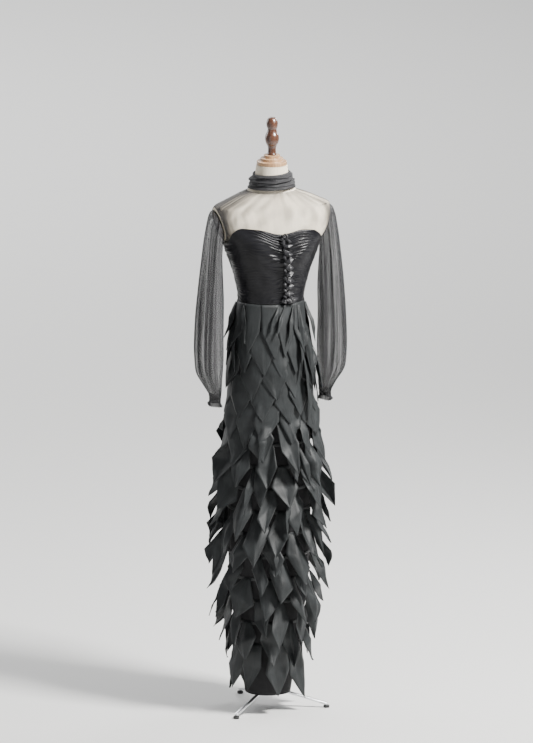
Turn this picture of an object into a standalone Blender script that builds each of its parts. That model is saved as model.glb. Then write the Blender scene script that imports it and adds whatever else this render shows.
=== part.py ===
"""Black evening dress on a limbless dress form. Metres, +Z up, front facing -Y, wearer's left at +X.

Angles round the body start at the centre front (-Y) and grow towards the wearer's left (+X).
"""

import random
from collections import namedtuple
from math import asin, cos, exp, pi, radians, sin

import bmesh
import bpy
from mathutils import Matrix, Vector

# Gaps and cloth thicknesses
SEAM_GAP = 0.0003
CLOTH_REST = 0.0020
BODICE_REST = 0.0024
SATIN_WALL = 0.0016
NET_WALL = 0.0010
TAFFETA_WALL = 0.0014
UNDERSKIRT_WALL = 0.0020
SHARP_EDGE = radians(40)
SLOPE_STEP = 0.001
SLOPE_TURN = 0.005

# Torso of the dress form
CHEST_STEP = radians(11.25)
STEADY_COLUMNS = 5
CHEST_COLUMNS = 7
HIP_ROWS = 6
NECK_ROWS = 4
BUST_HEIGHT = 1.478
BUST_SPREAD = radians(30)
BUST_WIDTH = radians(21)
BUST_TALLNESS = 0.045
BUST_RISE = 0.008
ARMHOLE_FOOT = 1.490
ARMHOLE_TOP = 1.597
ARMHOLE_FOOT_X = 0.1524
ARMHOLE_TOP_X = 0.1840

BodySection = namedtuple("BodySection", "height half_width front_depth back_depth squareness")
TORSO_SECTIONS = (
    BodySection(1.0200, 0.1120, 0.0900, 0.0960, 2.0),
    BodySection(1.0900, 0.1160, 0.0960, 0.1030, 2.0),
    BodySection(1.2000, 0.1080, 0.0880, 0.0910, 2.0),
    BodySection(1.3000, 0.0990, 0.0785, 0.0785, 2.0),
    BodySection(1.3800, 0.1130, 0.0910, 0.0840, 2.1),
    BodySection(1.4400, 0.1330, 0.1030, 0.0900, 2.2),
    BodySection(1.4900, 0.1510, 0.1070, 0.0950, 2.3),
    BodySection(1.5170, 0.1695, 0.1030, 0.0970, 2.4),
    BodySection(1.5435, 0.1855, 0.0950, 0.0940, 2.4),
    BodySection(1.5700, 0.1912, 0.0850, 0.0880, 2.4),
    BodySection(1.5850, 0.1890, 0.0780, 0.0810, 2.3),
    BodySection(1.5970, 0.1842, 0.0720, 0.0740, 2.2),
    BodySection(1.6120, 0.1560, 0.0660, 0.0690, 2.1),
    BodySection(1.6300, 0.1170, 0.0610, 0.0640, 2.0),
    BodySection(1.6470, 0.0740, 0.0570, 0.0600, 2.0),
    BodySection(1.6650, 0.0570, 0.0520, 0.0530, 2.0),
    BodySection(1.7240, 0.0480, 0.0480, 0.0480, 2.0),
)

# Armhole plates
PLATE_HALF_HEIGHT = 0.0430
PLATE_HALF_DEPTH = 0.0360
PLATE_THICKNESS = 0.0030

# Bodice
WAIST = 1.3000
BACK_TOP = 1.4830
RUCHE_COUNT = 7
RUCHE_RISE = 0.0024
RUCHE_SLOPE = 0.0100
FRONT_COLUMNS = 9
BACK_COLUMNS = 15
PANEL_HALF_GAP = radians(0.11)
PLACKET_DRIFT = radians(14)
SweetheartPoint = namedtuple("SweetheartPoint", "angle height")
SWEETHEART = (
    SweetheartPoint(radians(-110), BACK_TOP),
    SweetheartPoint(radians(-90), 1.4860),
    SweetheartPoint(radians(-72), 1.5000),
    SweetheartPoint(radians(-60), 1.5150),
    SweetheartPoint(radians(-50), 1.5320),
    SweetheartPoint(radians(-36), 1.5450),
    SweetheartPoint(radians(-17), 1.5390),
    SweetheartPoint(radians(0), 1.5245),
    SweetheartPoint(radians(17), 1.5340),
    SweetheartPoint(radians(30), 1.5310),
    SweetheartPoint(radians(45), 1.5160),
    SweetheartPoint(radians(60), 1.4985),
    SweetheartPoint(radians(74), 1.4895),
    SweetheartPoint(radians(90), 1.4860),
    SweetheartPoint(radians(110), BACK_TOP),
)

# Centre front ruffle strip and its knot
RUFFLE_COUNT = 9
RUFFLE_VALLEY = 0.0060
RUFFLE_POINT = 0.0150
RUFFLE_RISE = 0.0085
RUFFLE_MIDDLE_SHARE = 0.35
RUFFLE_FLANK_SHARE = 0.6
RUFFLE_PLACES = (-1.0, -0.5, 0.0, 0.5, 1.0)
STRIP_TURN = radians(3)
STRIP_SAG = 2.0
STRIP_REST = BODICE_REST + SATIN_WALL + RUCHE_RISE + SEAM_GAP
STRIP_FOOT = 0.030
STRIP_TOP = 0.905
KNOT_RADIUS = 0.0085
KNOT_FLATNESS = 0.85
KNOT_WIDTH = 1.1
KNOT_SEGMENTS = 10
KNOT_RINGS = 6
KNOT_SINK = 0.0012
KNOT_SHARE = 0.960

# Sheer yoke and collar
YOKE_TOP = 1.6455
YOKE_SEAM = 0.0008
YOKE_REST = 0.0022
ARMHOLE_STEPS = 6
SHOULDER_STEPS = 3
SHOULDER_SEAM = radians(89.85)
TORSO_SIDE = radians(89.0)
ARMHOLE_SETBACK = radians(0.6)
FOOT_ROUNDS = 6
COLLAR_FOLDS = 7
COLLAR_COLUMNS = 28
COLLAR_ROWS = 5
COLLAR_FOLD_DEPTH = 0.0022
COLLAR_TWIST = radians(50)
COLLAR_FOLD_START = 0.15
COLLAR_FOLD_SPAN = 0.80
CollarSection = namedtuple("CollarSection", "height half_width half_depth lift")
COLLAR_SECTIONS = (
    CollarSection(1.6488, 0.0762, 0.0625, 0.0000),
    CollarSection(1.6600, 0.0700, 0.0630, 0.0010),
    CollarSection(1.6750, 0.0670, 0.0620, 0.0020),
    CollarSection(1.6900, 0.0620, 0.0590, 0.0030),
    CollarSection(1.7010, 0.0560, 0.0550, 0.0040),
)

# Sleeves, given for the wearer's left and mirrored for the right
SLEEVE_COLUMNS = 20
SLEEVE_FOLDS = 5
SleeveSection = namedtuple("SleeveSection", "inner_x inner_z outer_x outer_z half_depth fold_depth")
SLEEVE_SECTIONS = (
    SleeveSection(0.1570, 1.4995, 0.1836, 1.5900, 0.0420, 0.0000),
    SleeveSection(0.1590, 1.4890, 0.1930, 1.5875, 0.0460, 0.0006),
    SleeveSection(0.1605, 1.4700, 0.2010, 1.5720, 0.0480, 0.0012),
    SleeveSection(0.1605, 1.4300, 0.2120, 1.5200, 0.0490, 0.0020),
    SleeveSection(0.1590, 1.3700, 0.2220, 1.4400, 0.0500, 0.0026),
    SleeveSection(0.1580, 1.3000, 0.2330, 1.3400, 0.0530, 0.0030),
    SleeveSection(0.1580, 1.2200, 0.2410, 1.2400, 0.0560, 0.0032),
    SleeveSection(0.1580, 1.1500, 0.2440, 1.1550, 0.0570, 0.0032),
    SleeveSection(0.1590, 1.0850, 0.2400, 1.0850, 0.0530, 0.0030),
    SleeveSection(0.1610, 1.0350, 0.2150, 1.0350, 0.0420, 0.0026),
    SleeveSection(0.1620, 1.0050, 0.1960, 1.0050, 0.0320, 0.0014),
)
CUFF_COLUMNS = 16
CuffSection = namedtuple("CuffSection", "height centre_x half_width half_depth fold_depth")
CUFF_SECTIONS = (
    CuffSection(0.9740, 0.1790, 0.0185, 0.0345, 0.0020),
    CuffSection(0.9850, 0.1790, 0.0160, 0.0310, 0.0008),
    CuffSection(0.9960, 0.1790, 0.0160, 0.0310, 0.0008),
    CuffSection(1.0045, 0.1790, 0.0170, 0.0320, 0.0014),
)
CUFF_FOLDS = 4
LEFT_FOLD_PHASE = 0.4
RIGHT_FOLD_PHASE = 1.7

# Under-skirt
SKIRT_TOP = 1.2997
SKIRT_HEM = 0.0520
SKIRT_COLUMNS = 8
LOW_ROW = 0.1300
GIRTH_STEPS = 180
SIDE_SETBACK = 0.00065
SKIRT_SECTIONS = (
    BodySection(0.0520, 0.0720, 0.0700, 0.0720, 2.0),
    BodySection(0.1600, 0.0880, 0.0860, 0.0880, 2.0),
    BodySection(0.2800, 0.1080, 0.1040, 0.1070, 2.0),
    BodySection(0.4200, 0.1230, 0.1170, 0.1210, 2.0),
    BodySection(0.6000, 0.1300, 0.1220, 0.1260, 2.0),
    BodySection(0.8000, 0.1280, 0.1180, 0.1210, 2.0),
    BodySection(0.9800, 0.1250, 0.1120, 0.1150, 2.0),
    BodySection(1.1200, 0.1220, 0.1060, 0.1090, 2.0),
    BodySection(1.2300, 0.1140, 0.0950, 0.0970, 2.0),
    BodySection(1.2997, 0.1035, 0.0830, 0.0830, 2.0),
)

# Petal tiers
TIER_COUNT = 16
FIRST_TIER = 1.2860
LAST_TIER = 0.2150
TAPE_TALLNESS = 0.0100
TAPE_SAG_SHARE = 1.1
CORNER_SHARE = 0.46
PETAL_WIDEST = 0.0860
PETAL_SPACING_SHARE = 0.90
FLARE_POWER = 1.15
PETAL_SEED = 2
TIER_SEEDS = 100
WIDTH_RANGE = (0.74, 1.00)
TURN_RANGE = (-1.0, 1.0)
FOLD_RANGE = (-0.5, 1.0)
FLARE_RANGE = (0.84, 1.10)
DROP_RANGE = (0.88, 1.12)
SWING_RANGE = (-0.32, 0.32)
TierShape = namedtuple("TierShape", "height petals drop flare turn fold")
TIER_SHAPES = (
    TierShape(0.200, 9, 0.128, 0.042, radians(18), 0.005),
    TierShape(0.290, 10, 0.130, 0.052, radians(22), 0.008),
    TierShape(0.360, 11, 0.128, 0.062, radians(27), 0.010),
    TierShape(0.500, 11, 0.127, 0.067, radians(30), 0.011),
    TierShape(0.700, 11, 0.127, 0.065, radians(30), 0.011),
    TierShape(0.880, 11, 0.130, 0.054, radians(22), 0.009),
    TierShape(1.000, 11, 0.132, 0.036, radians(11), 0.004),
    TierShape(1.150, 11, 0.140, 0.026, radians(7), 0.003),
    TierShape(1.290, 11, 0.140, 0.021, radians(5), 0.002),
)

# Wooden cap, finial and stand
RADIAL_STEPS = 16
AXIS_MERGE = 0.00001
BASE_PLATE_THICKNESS = 0.0120
BASE_PLATE_INSET = 0.0040
POLE_RADIUS = 0.0125
HUB_RADIUS = 0.0220
HUB_FOOT = 0.0460
HUB_TOP = 0.0720
LEG_START_HEIGHT = 0.0590
LEG_END_HEIGHT = 0.0118
LEG_END_RADIUS = 0.1860
LEG_WIDTH = 0.0120
LEG_THICKNESS = 0.0075
LEG_ROUNDING = 0.0015
FOOT_RADIUS = 0.0095
FOOT_HEIGHT = 0.0080
FOOT_PLACE = 0.1830
LEG_ANGLES = (radians(-20), radians(-140), radians(100))
TurnedPoint = namedtuple("TurnedPoint", "radius height")
CAP_PROFILE = (
    TurnedPoint(0.0000, 1.7550),
    TurnedPoint(0.0240, 1.7550),
    TurnedPoint(0.0250, 1.7540),
    TurnedPoint(0.0250, 1.7460),
    TurnedPoint(0.0340, 1.7455),
    TurnedPoint(0.0350, 1.7440),
    TurnedPoint(0.0350, 1.7370),
    TurnedPoint(0.0450, 1.7360),
    TurnedPoint(0.0465, 1.7340),
    TurnedPoint(0.0465, 1.7265),
    TurnedPoint(0.0450, 1.7243),
    TurnedPoint(0.0000, 1.7243),
)
FINIAL_PROFILE = (
    TurnedPoint(0.0000, 1.8720),
    TurnedPoint(0.0080, 1.8720),
    TurnedPoint(0.0150, 1.8650),
    TurnedPoint(0.0180, 1.8540),
    TurnedPoint(0.0170, 1.8440),
    TurnedPoint(0.0140, 1.8350),
    TurnedPoint(0.0155, 1.8270),
    TurnedPoint(0.0205, 1.8160),
    TurnedPoint(0.0218, 1.8050),
    TurnedPoint(0.0195, 1.7930),
    TurnedPoint(0.0145, 1.7830),
    TurnedPoint(0.0124, 1.7740),
    TurnedPoint(0.0126, 1.7640),
    TurnedPoint(0.0150, 1.7570),
    TurnedPoint(0.0150, 1.7553),
    TurnedPoint(0.0000, 1.7553),
)

Finish = namedtuple("Finish", "name colour roughness metallic")
FORM_COTTON = Finish("form_cotton", (0.78, 0.72, 0.60), 0.85, 0.0)
TURNED_WOOD = Finish("turned_wood", (0.16, 0.07, 0.035), 0.40, 0.0)
STEEL = Finish("bright_steel", (0.72, 0.73, 0.75), 0.25, 1.0)
RUBBER = Finish("foot_rubber", (0.03, 0.03, 0.03), 0.70, 0.0)
SATIN = Finish("black_satin", (0.012, 0.012, 0.014), 0.38, 0.0)
NET = Finish("black_net", (0.035, 0.034, 0.037), 0.75, 0.0)
TAFFETA = Finish("charcoal_taffeta", (0.022, 0.022, 0.024), 0.60, 0.0)
LINING_CLOTH = Finish("black_underskirt", (0.010, 0.010, 0.011), 0.80, 0.0)


# Scene and mesh helpers

def clear_scene():
    """Remove every object and start a collection named for the object."""
    for item in list(bpy.data.objects):
        bpy.data.objects.remove(item, do_unlink=True)
    parts = bpy.data.collections.new("evening_dress_on_form")
    bpy.context.scene.collection.children.link(parts)
    return parts


def material_for(finish):
    """Return the finish's Principled material, made at its first use."""
    found = bpy.data.materials.get(finish.name)
    if found:
        return found
    made = bpy.data.materials.new(finish.name)
    made.use_nodes = True
    shader = made.node_tree.nodes["Principled BSDF"]
    shader.inputs["Base Color"].default_value = (*finish.colour, 1.0)
    shader.inputs["Roughness"].default_value = finish.roughness
    shader.inputs["Metallic"].default_value = finish.metallic
    return made


def add_object(parts, name, mesh, finish):
    """Link a mesh as a named object with its material, shaded smooth."""
    piece = bpy.data.objects.new(name, mesh)
    mesh.materials.append(material_for(finish))
    mesh.shade_smooth()
    mesh.set_sharp_from_angle(angle=SHARP_EDGE)
    parts.objects.link(piece)
    return piece


def mesh_from_faces(name, points, faces):
    """Return a mesh of the given points and faces."""
    mesh = bpy.data.meshes.new(name)
    mesh.from_pydata([tuple(point) for point in points], [], faces)
    mesh.validate()
    return mesh


def grid_faces(row_count, column_count, around, start=0):
    """Quads of a grid whose rows climb and whose columns run round the body, facing out."""
    faces = []
    for row in range(row_count - 1):
        for column in range(column_count if around else column_count - 1):
            after = (column + 1) % column_count
            low = start + row * column_count
            high = low + column_count
            faces.append((low + column, low + after, high + after, high + column))
    return faces


def add_thickness(piece, thickness, side):
    """Give an open surface its cloth thickness: side 1 grows it outwards, -1 inwards."""
    solid = piece.modifiers.new("cloth thickness", "SOLIDIFY")
    solid.thickness = thickness
    solid.offset = side
    return piece


def add_sheet(parts, name, rows, around, thickness, side, finish):
    """Build a cloth wall on a grid of points."""
    points = [point for row in rows for point in row]
    faces = grid_faces(len(rows), len(rows[0]), around)
    piece = add_object(parts, name, mesh_from_faces(name, points, faces), finish)
    return add_thickness(piece, thickness, side)


def add_relief_wall(parts, name, inner_rows, outer_rows, finish):
    """Build a wall with a plain inner face and a raised outer face, open at all four edges."""
    row_count = len(inner_rows)
    column_count = len(inner_rows[0])
    points = [point for row in inner_rows for point in row]
    outer_start = len(points)
    points += [point for row in outer_rows for point in row]
    faces = [tuple(reversed(face)) for face in grid_faces(row_count, column_count, False)]
    faces += grid_faces(row_count, column_count, False, outer_start)
    last = (row_count - 1) * column_count
    edge = list(range(column_count))
    edge += [row * column_count + column_count - 1 for row in range(1, row_count)]
    edge += [last + column for column in range(column_count - 2, -1, -1)]
    edge += [row * column_count for row in range(row_count - 2, 0, -1)]
    for here, after in zip(edge, edge[1:] + edge[:1]):
        faces.append((here, after, outer_start + after, outer_start + here))
    return add_object(parts, name, mesh_from_faces(name, points, faces), finish)


def add_capped_loft(parts, name, rows, finish):
    """Build a solid body through closed rings, with a flat cap at each end."""
    points = [point for row in rows for point in row]
    column_count = len(rows[0])
    faces = grid_faces(len(rows), column_count, True)
    last = (len(rows) - 1) * column_count
    faces.append(tuple(range(column_count - 1, -1, -1)))
    faces.append(tuple(range(last, last + column_count)))
    return add_object(parts, name, mesh_from_faces(name, points, faces), finish)


def add_turned(parts, name, profile, finish):
    """Turn a profile, listed top to bottom, round the pole's axis."""
    points = [(point.radius, 0.0, point.height) for point in profile]
    mesh = bpy.data.meshes.new(name)
    mesh.from_pydata(points, [(k, k + 1) for k in range(len(points) - 1)], [])
    piece = add_object(parts, name, mesh, finish)
    turn = piece.modifiers.new("turning", "SCREW")
    turn.axis = "Z"
    turn.angle = 2 * pi
    turn.steps = RADIAL_STEPS
    turn.render_steps = RADIAL_STEPS
    turn.use_merge_vertices = True
    turn.merge_threshold = AXIS_MERGE
    turn.use_smooth_shade = True
    return piece


def add_cylinder(parts, name, radius, low, high, centre, finish, stretch=1.0):
    """Build an upright cylinder between two heights; stretch widens it along Y."""
    shape = bmesh.new()
    bmesh.ops.create_cone(shape, cap_ends=True, segments=RADIAL_STEPS, radius1=radius,
                          radius2=radius, depth=high - low)
    bmesh.ops.scale(shape, vec=(1.0, stretch, 1.0), verts=shape.verts)
    bmesh.ops.translate(shape, vec=(centre[0], centre[1], (low + high) / 2), verts=shape.verts)
    mesh = bpy.data.meshes.new(name)
    shape.to_mesh(mesh)
    shape.free()
    return add_object(parts, name, mesh, finish)


# Curves read from the tables

def slopes_of(spots, values):
    """Slopes of a curve through the given values that never overshoots them."""
    steps = [(values[k + 1] - values[k]) / (spots[k + 1] - spots[k]) for k in range(len(spots) - 1)]
    slopes = [steps[0]]
    for before, after in zip(steps, steps[1:]):
        slopes.append(0.0 if before * after <= 0 else 2 * before * after / (before + after))
    return slopes + [steps[-1]]


def value_at(table, key, column, spot):
    """Read one column of a table as a smooth curve over its key column."""
    spots = [getattr(row, key) for row in table]
    values = [getattr(row, column) for row in table]
    spot = min(max(spot, spots[0]), spots[-1])
    slopes = slopes_of(spots, values)
    k = max(i for i in range(len(spots) - 1) if spots[i] <= spot)
    span = spots[k + 1] - spots[k]
    share = (spot - spots[k]) / span
    rise = share * share * (3 - 2 * share)
    leave = share * (1 - share) ** 2 * span
    arrive = share * share * (share - 1) * span
    return values[k] + rise * (values[k + 1] - values[k]) + leave * slopes[k] + arrive * slopes[k + 1]


def section_at(table, height):
    """Return the body section at a height."""
    columns = BodySection._fields[1:]
    return BodySection(height, *(value_at(table, "height", column, height) for column in columns))


def ring_point(section, angle):
    """Point of a section at an angle from the centre front."""
    power = 2 / section.squareness
    across = sin(angle)
    ahead = cos(angle)
    depth = section.front_depth if ahead > 0 else section.back_depth
    x = section.half_width * abs(across) ** power * (1 if across > 0 else -1)
    y = -depth * abs(ahead) ** power * (1 if ahead > 0 else -1)
    return Vector((x, y, section.height))


def armhole_x(height):
    """Distance of the armhole's slanted plane from the middle, at a height."""
    share = (height - ARMHOLE_FOOT) / (ARMHOLE_TOP - ARMHOLE_FOOT)
    return ARMHOLE_FOOT_X + share * (ARMHOLE_TOP_X - ARMHOLE_FOOT_X)


def bust_rise(angle, height):
    """Gentle fullness of the form at both sides of the centre front."""
    turned = (angle + pi) % (2 * pi) - pi
    sideways = (abs(turned) - BUST_SPREAD) / BUST_WIDTH
    upward = (height - BUST_HEIGHT) / BUST_TALLNESS
    return BUST_RISE * exp(-sideways * sideways - upward * upward)


def torso_base(angle, height):
    """Point of the torso before the armholes are cut flat."""
    point = ring_point(section_at(TORSO_SECTIONS, height), angle)
    outward = Vector((point.x, point.y, 0)).normalized()
    return point + outward * bust_rise(angle, height)


def facing(surface, angle, height):
    """Outward direction of a surface of angle and height."""
    sideways = surface(angle + SLOPE_TURN, height) - surface(angle - SLOPE_TURN, height)
    upward = surface(angle, height + SLOPE_STEP) - surface(angle, height - SLOPE_STEP)
    return sideways.cross(upward).normalized()


def torso_point(angle, height, rest=0.0):
    """Point of the torso, or of cloth that lies at a small distance from it."""
    point = torso_base(angle, height)
    if ARMHOLE_FOOT < height < ARMHOLE_TOP and rest == 0.0:
        point.x = max(-armhole_x(height), min(armhole_x(height), point.x))
    if rest:
        point += facing(torso_base, angle, height) * rest
    return point


def armhole_angle(height):
    """Angle at which the armhole's plane cuts the torso, or the shoulder seam above and below it."""
    section = section_at(TORSO_SECTIONS, height)
    if not ARMHOLE_FOOT < height < ARMHOLE_TOP or section.half_width <= armhole_x(height):
        return SHOULDER_SEAM
    share = armhole_x(height) / section.half_width
    return min(SHOULDER_SEAM, asin(share ** (section.squareness / 2)))


def skirt_base(angle, height):
    """Point of the under-skirt's outer face."""
    return ring_point(section_at(SKIRT_SECTIONS, height), angle)


def bodice_top(angle):
    """Height of the bodice's top edge: a sweetheart curve in front, level behind."""
    turned = (angle + pi) % (2 * pi) - pi
    return value_at(SWEETHEART, "angle", "height", turned)


def chest_range():
    """Numbers of the columns of one half of the chest, 0 at its middle."""
    return range(-CHEST_COLUMNS, CHEST_COLUMNS + 1)


def column_angle(column, height, widest):
    """Angle of a column: evenly spaced, but for the last ones, which follow the armhole's edge."""
    steady = STEADY_COLUMNS * CHEST_STEP
    if abs(column) <= STEADY_COLUMNS:
        return column * CHEST_STEP
    reach = min(widest, armhole_angle(height))
    share = (abs(column) - STEADY_COLUMNS) / (CHEST_COLUMNS - STEADY_COLUMNS)
    return (steady + (reach - steady) * share) * (1 if column > 0 else -1)


def level_ring(height):
    """Angles and heights of a level ring round the torso."""
    arc = [column_angle(column, height, TORSO_SIDE) for column in chest_range()]
    angles = arc + [pi / 2] + [angle + pi for angle in arc] + [3 * pi / 2]
    return [(angle, height) for angle in angles]


def yoke_spot(column, turn, share, widest, lift=0.0):
    """Angle and height of the yoke's grid, from the bodice's top edge to the neck."""
    foot = BACK_TOP
    for _ in range(FOOT_ROUNDS):
        foot = bodice_top(column_angle(column, foot, widest) + turn) + lift
    height = foot + (YOKE_TOP - foot) * share
    return column_angle(column, height, widest) + turn, height


def shares(count):
    """Even shares from 0 to 1."""
    return [k / (count - 1) for k in range(count)]


def yoke_climb():
    """Shares of the way from the armhole's foot to the neck, close together where the armhole turns."""
    armhole = (ARMHOLE_TOP - ARMHOLE_FOOT) / (YOKE_TOP - ARMHOLE_FOOT)
    turned = [armhole * (1 - cos(pi * share)) / 2 for share in shares(ARMHOLE_STEPS + 1)]
    return turned + [armhole + (1 - armhole) * share for share in shares(SHOULDER_STEPS + 1)[1:]]


# Dress form

def build_torso(parts):
    """Smooth closed torso with flat armholes, neck and base."""
    low = TORSO_SECTIONS[0].height
    high = TORSO_SECTIONS[-1].height
    level = [low + (WAIST - low) * share for share in shares(HIP_ROWS)]
    neck = [YOKE_TOP + (high - YOKE_TOP) * share for share in shares(NECK_ROWS)[1:]]
    rows = [[torso_point(*spot) for spot in level_ring(height)] for height in level]
    for share in shares(RUCHE_COUNT + 1)[1:]:
        ring = [(angle, WAIST + (bodice_top(angle) - WAIST) * share) for angle, _ in level_ring(WAIST)]
        rows.append([torso_point(*spot) for spot in ring])
    for share in yoke_climb()[1:]:
        front = [yoke_spot(column, 0.0, share, TORSO_SIDE) for column in chest_range()]
        back = [yoke_spot(column, pi, share, TORSO_SIDE) for column in chest_range()]
        left = (pi / 2, (front[-1][1] + back[0][1]) / 2)
        right = (3 * pi / 2, (back[-1][1] + front[0][1]) / 2)
        rows.append([torso_point(*spot) for spot in front + [left] + back + [right]])
    rows += [[torso_point(*spot) for spot in level_ring(height)] for height in neck]
    add_capped_loft(parts, "torso", rows, FORM_COTTON)


def build_armhole_plates(parts):
    """Thin oval plates on the flat armholes."""
    middle = (ARMHOLE_FOOT + ARMHOLE_TOP) / 2
    lean = Vector((ARMHOLE_TOP_X - ARMHOLE_FOOT_X, 0, ARMHOLE_TOP - ARMHOLE_FOOT)).normalized()
    outward = Vector((lean.z, 0, -lean.x))
    centre = Vector((armhole_x(middle), 0, middle)) + outward * (SEAM_GAP + PLATE_THICKNESS / 2)
    axes = Matrix((lean, Vector((0, 1, 0)), outward)).transposed().to_4x4()
    for side, name in ((1, "armhole_plate_left"), (-1, "armhole_plate_right")):
        shape = bmesh.new()
        bmesh.ops.create_cone(shape, cap_ends=True, segments=RADIAL_STEPS, radius1=1.0,
                              radius2=1.0, depth=PLATE_THICKNESS)
        bmesh.ops.scale(shape, vec=(PLATE_HALF_HEIGHT, PLATE_HALF_DEPTH, 1), verts=shape.verts)
        bmesh.ops.transform(shape, matrix=Matrix.Translation(centre) @ axes, verts=shape.verts)
        if side < 0:
            bmesh.ops.scale(shape, vec=(-1, 1, 1), verts=shape.verts)
        bmesh.ops.recalc_face_normals(shape, faces=shape.faces)
        mesh = bpy.data.meshes.new(name)
        shape.to_mesh(mesh)
        shape.free()
        add_object(parts, name, mesh, TURNED_WOOD)


def build_cap_and_stand(parts):
    """Wooden cap and finial above, base plate, pole, hub, legs and feet below."""
    add_turned(parts, "neck_cap", CAP_PROFILE, TURNED_WOOD)
    add_turned(parts, "finial", FINIAL_PROFILE, TURNED_WOOD)
    foot = TORSO_SECTIONS[0]
    plate_top = foot.height - SEAM_GAP
    plate_low = plate_top - BASE_PLATE_THICKNESS
    radius = foot.half_width - BASE_PLATE_INSET
    add_cylinder(parts, "base_plate", radius, plate_low, plate_top, (0, 0), TURNED_WOOD,
                 foot.front_depth / foot.half_width)
    add_cylinder(parts, "pole", POLE_RADIUS, HUB_TOP + SEAM_GAP, plate_low - SEAM_GAP, (0, 0), STEEL)
    add_cylinder(parts, "hub", HUB_RADIUS, HUB_FOOT, HUB_TOP, (0, 0), STEEL)
    for number, angle in enumerate(LEG_ANGLES, 1):
        build_leg(parts, number, angle)


def build_leg(parts, number, angle):
    """One flat leg from the hub to its foot."""
    inner = Vector((HUB_RADIUS + 3 * SEAM_GAP, 0, LEG_START_HEIGHT))
    outer = Vector((LEG_END_RADIUS, 0, LEG_END_HEIGHT))
    along = outer - inner
    turn = Matrix.Rotation(angle, 4, "Z")
    aim = Vector((1, 0, 0)).rotation_difference(along).to_matrix().to_4x4()
    place = turn @ Matrix.Translation((inner + outer) / 2) @ aim
    shape = bmesh.new()
    bmesh.ops.create_cube(shape, size=1.0)
    bmesh.ops.scale(shape, vec=(along.length, LEG_WIDTH, LEG_THICKNESS), verts=shape.verts)
    bmesh.ops.transform(shape, matrix=place, verts=shape.verts)
    mesh = bpy.data.meshes.new(f"leg_{number}")
    shape.to_mesh(mesh)
    shape.free()
    leg = add_object(parts, f"leg_{number}", mesh, STEEL)
    rounding = leg.modifiers.new("rounded edges", "BEVEL")
    rounding.width = LEG_ROUNDING
    rounding.segments = 1
    centre = turn @ Vector((FOOT_PLACE, 0, 0))
    add_cylinder(parts, f"foot_{number}", FOOT_RADIUS, 0.0, FOOT_HEIGHT, centre, RUBBER)


# Bodice

def ruche_rise(share, angle):
    """Height of the bodice's horizontal pleats above its plain face."""
    drop = RUCHE_SLOPE * cos(angle) / (BACK_TOP - WAIST)
    wave = sin(pi * RUCHE_COUNT * (share + drop)) ** 2
    return RUCHE_RISE * wave


def bodice_rows(first, last, columns, rest, relief):
    """Points of a bodice panel between two side angles, which are functions of the share climbed."""
    rows = []
    for share in shares(2 * RUCHE_COUNT + 1):
        row = []
        for across in shares(columns):
            angle = first(share) + (last(share) - first(share)) * across
            foot = WAIST + SEAM_GAP
            height = foot + (bodice_top(angle) - foot) * share
            raised = ruche_rise(share, angle) if relief else 0.0
            row.append(torso_point(angle, height, rest + raised))
        rows.append(row)
    return rows


def placket_angle(share):
    """Angle of the centre front seam, which drifts to the wearer's left at the waist."""
    return PLACKET_DRIFT * (1 - share)


def build_bodice(parts):
    """Two ruched fronts that meet under the ruffle strip, and a ruched back."""
    side = pi / 2
    panels = (
        ("bodice_front_right", lambda share: PANEL_HALF_GAP - side,
         lambda share: placket_angle(share) - PANEL_HALF_GAP, FRONT_COLUMNS),
        ("bodice_front_left", lambda share: placket_angle(share) + PANEL_HALF_GAP,
         lambda share: side - PANEL_HALF_GAP, FRONT_COLUMNS),
        ("bodice_back", lambda share: side + PANEL_HALF_GAP,
         lambda share: 3 * side - PANEL_HALF_GAP, BACK_COLUMNS),
    )
    for name, first, last, columns in panels:
        inner = bodice_rows(first, last, columns, BODICE_REST, False)
        outer = bodice_rows(first, last, columns, BODICE_REST + SATIN_WALL, True)
        add_relief_wall(parts, name, inner, outer, SATIN)


def strip_point(share, across, rise):
    """Point of the centre front strip: across is a distance from its middle line."""
    angle = placket_angle(share)
    height = WAIST + (bodice_top(0) - WAIST) * share
    middle = torso_point(angle, height, STRIP_REST + rise)
    sideways = torso_point(angle + STRIP_TURN, height) - torso_point(angle - STRIP_TURN, height)
    return middle + sideways.normalized() * across


def build_ruffle_strip(parts):
    """Strip of pointed ruffles down the centre front, with a knot at its top."""
    rows = []
    for k in range(2 * RUFFLE_COUNT + 1):
        share = STRIP_FOOT + (STRIP_TOP - STRIP_FOOT) * k / (2 * RUFFLE_COUNT)
        pointed = k % 2
        reach = RUFFLE_POINT if pointed else RUFFLE_VALLEY
        edge_rise = RUFFLE_RISE if pointed else 0.0
        middle_rise = RUFFLE_RISE * RUFFLE_MIDDLE_SHARE * pointed
        flank_rise = middle_rise * RUFFLE_FLANK_SHARE
        rises = (edge_rise, flank_rise, middle_rise, flank_rise, edge_rise)
        row = []
        for place, rise in zip(RUFFLE_PLACES, rises):
            row.append(strip_point(share, reach * place, rise + sag_clearance(reach * place)))
        rows.append(row)
    add_sheet(parts, "front_ruffle_strip", rows, False, TAFFETA_WALL, 1, SATIN)
    shape = bmesh.new()
    bmesh.ops.create_uvsphere(shape, u_segments=KNOT_SEGMENTS, v_segments=KNOT_RINGS,
                              radius=KNOT_RADIUS)
    bmesh.ops.scale(shape, vec=(KNOT_WIDTH, KNOT_FLATNESS, 1.0), verts=shape.verts)
    place = strip_point(KNOT_SHARE, 0.0, KNOT_RADIUS * KNOT_FLATNESS - KNOT_SINK)
    bmesh.ops.translate(shape, vec=place, verts=shape.verts)
    mesh = bpy.data.meshes.new("front_knot")
    shape.to_mesh(mesh)
    shape.free()
    add_object(parts, "front_knot", mesh, SATIN)


def sag_clearance(across):
    """Room that a flat strip needs at its edges over the rounded chest."""
    return across * across * STRIP_SAG


# Sheer net: yoke, collar, sleeves and cuffs

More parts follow.
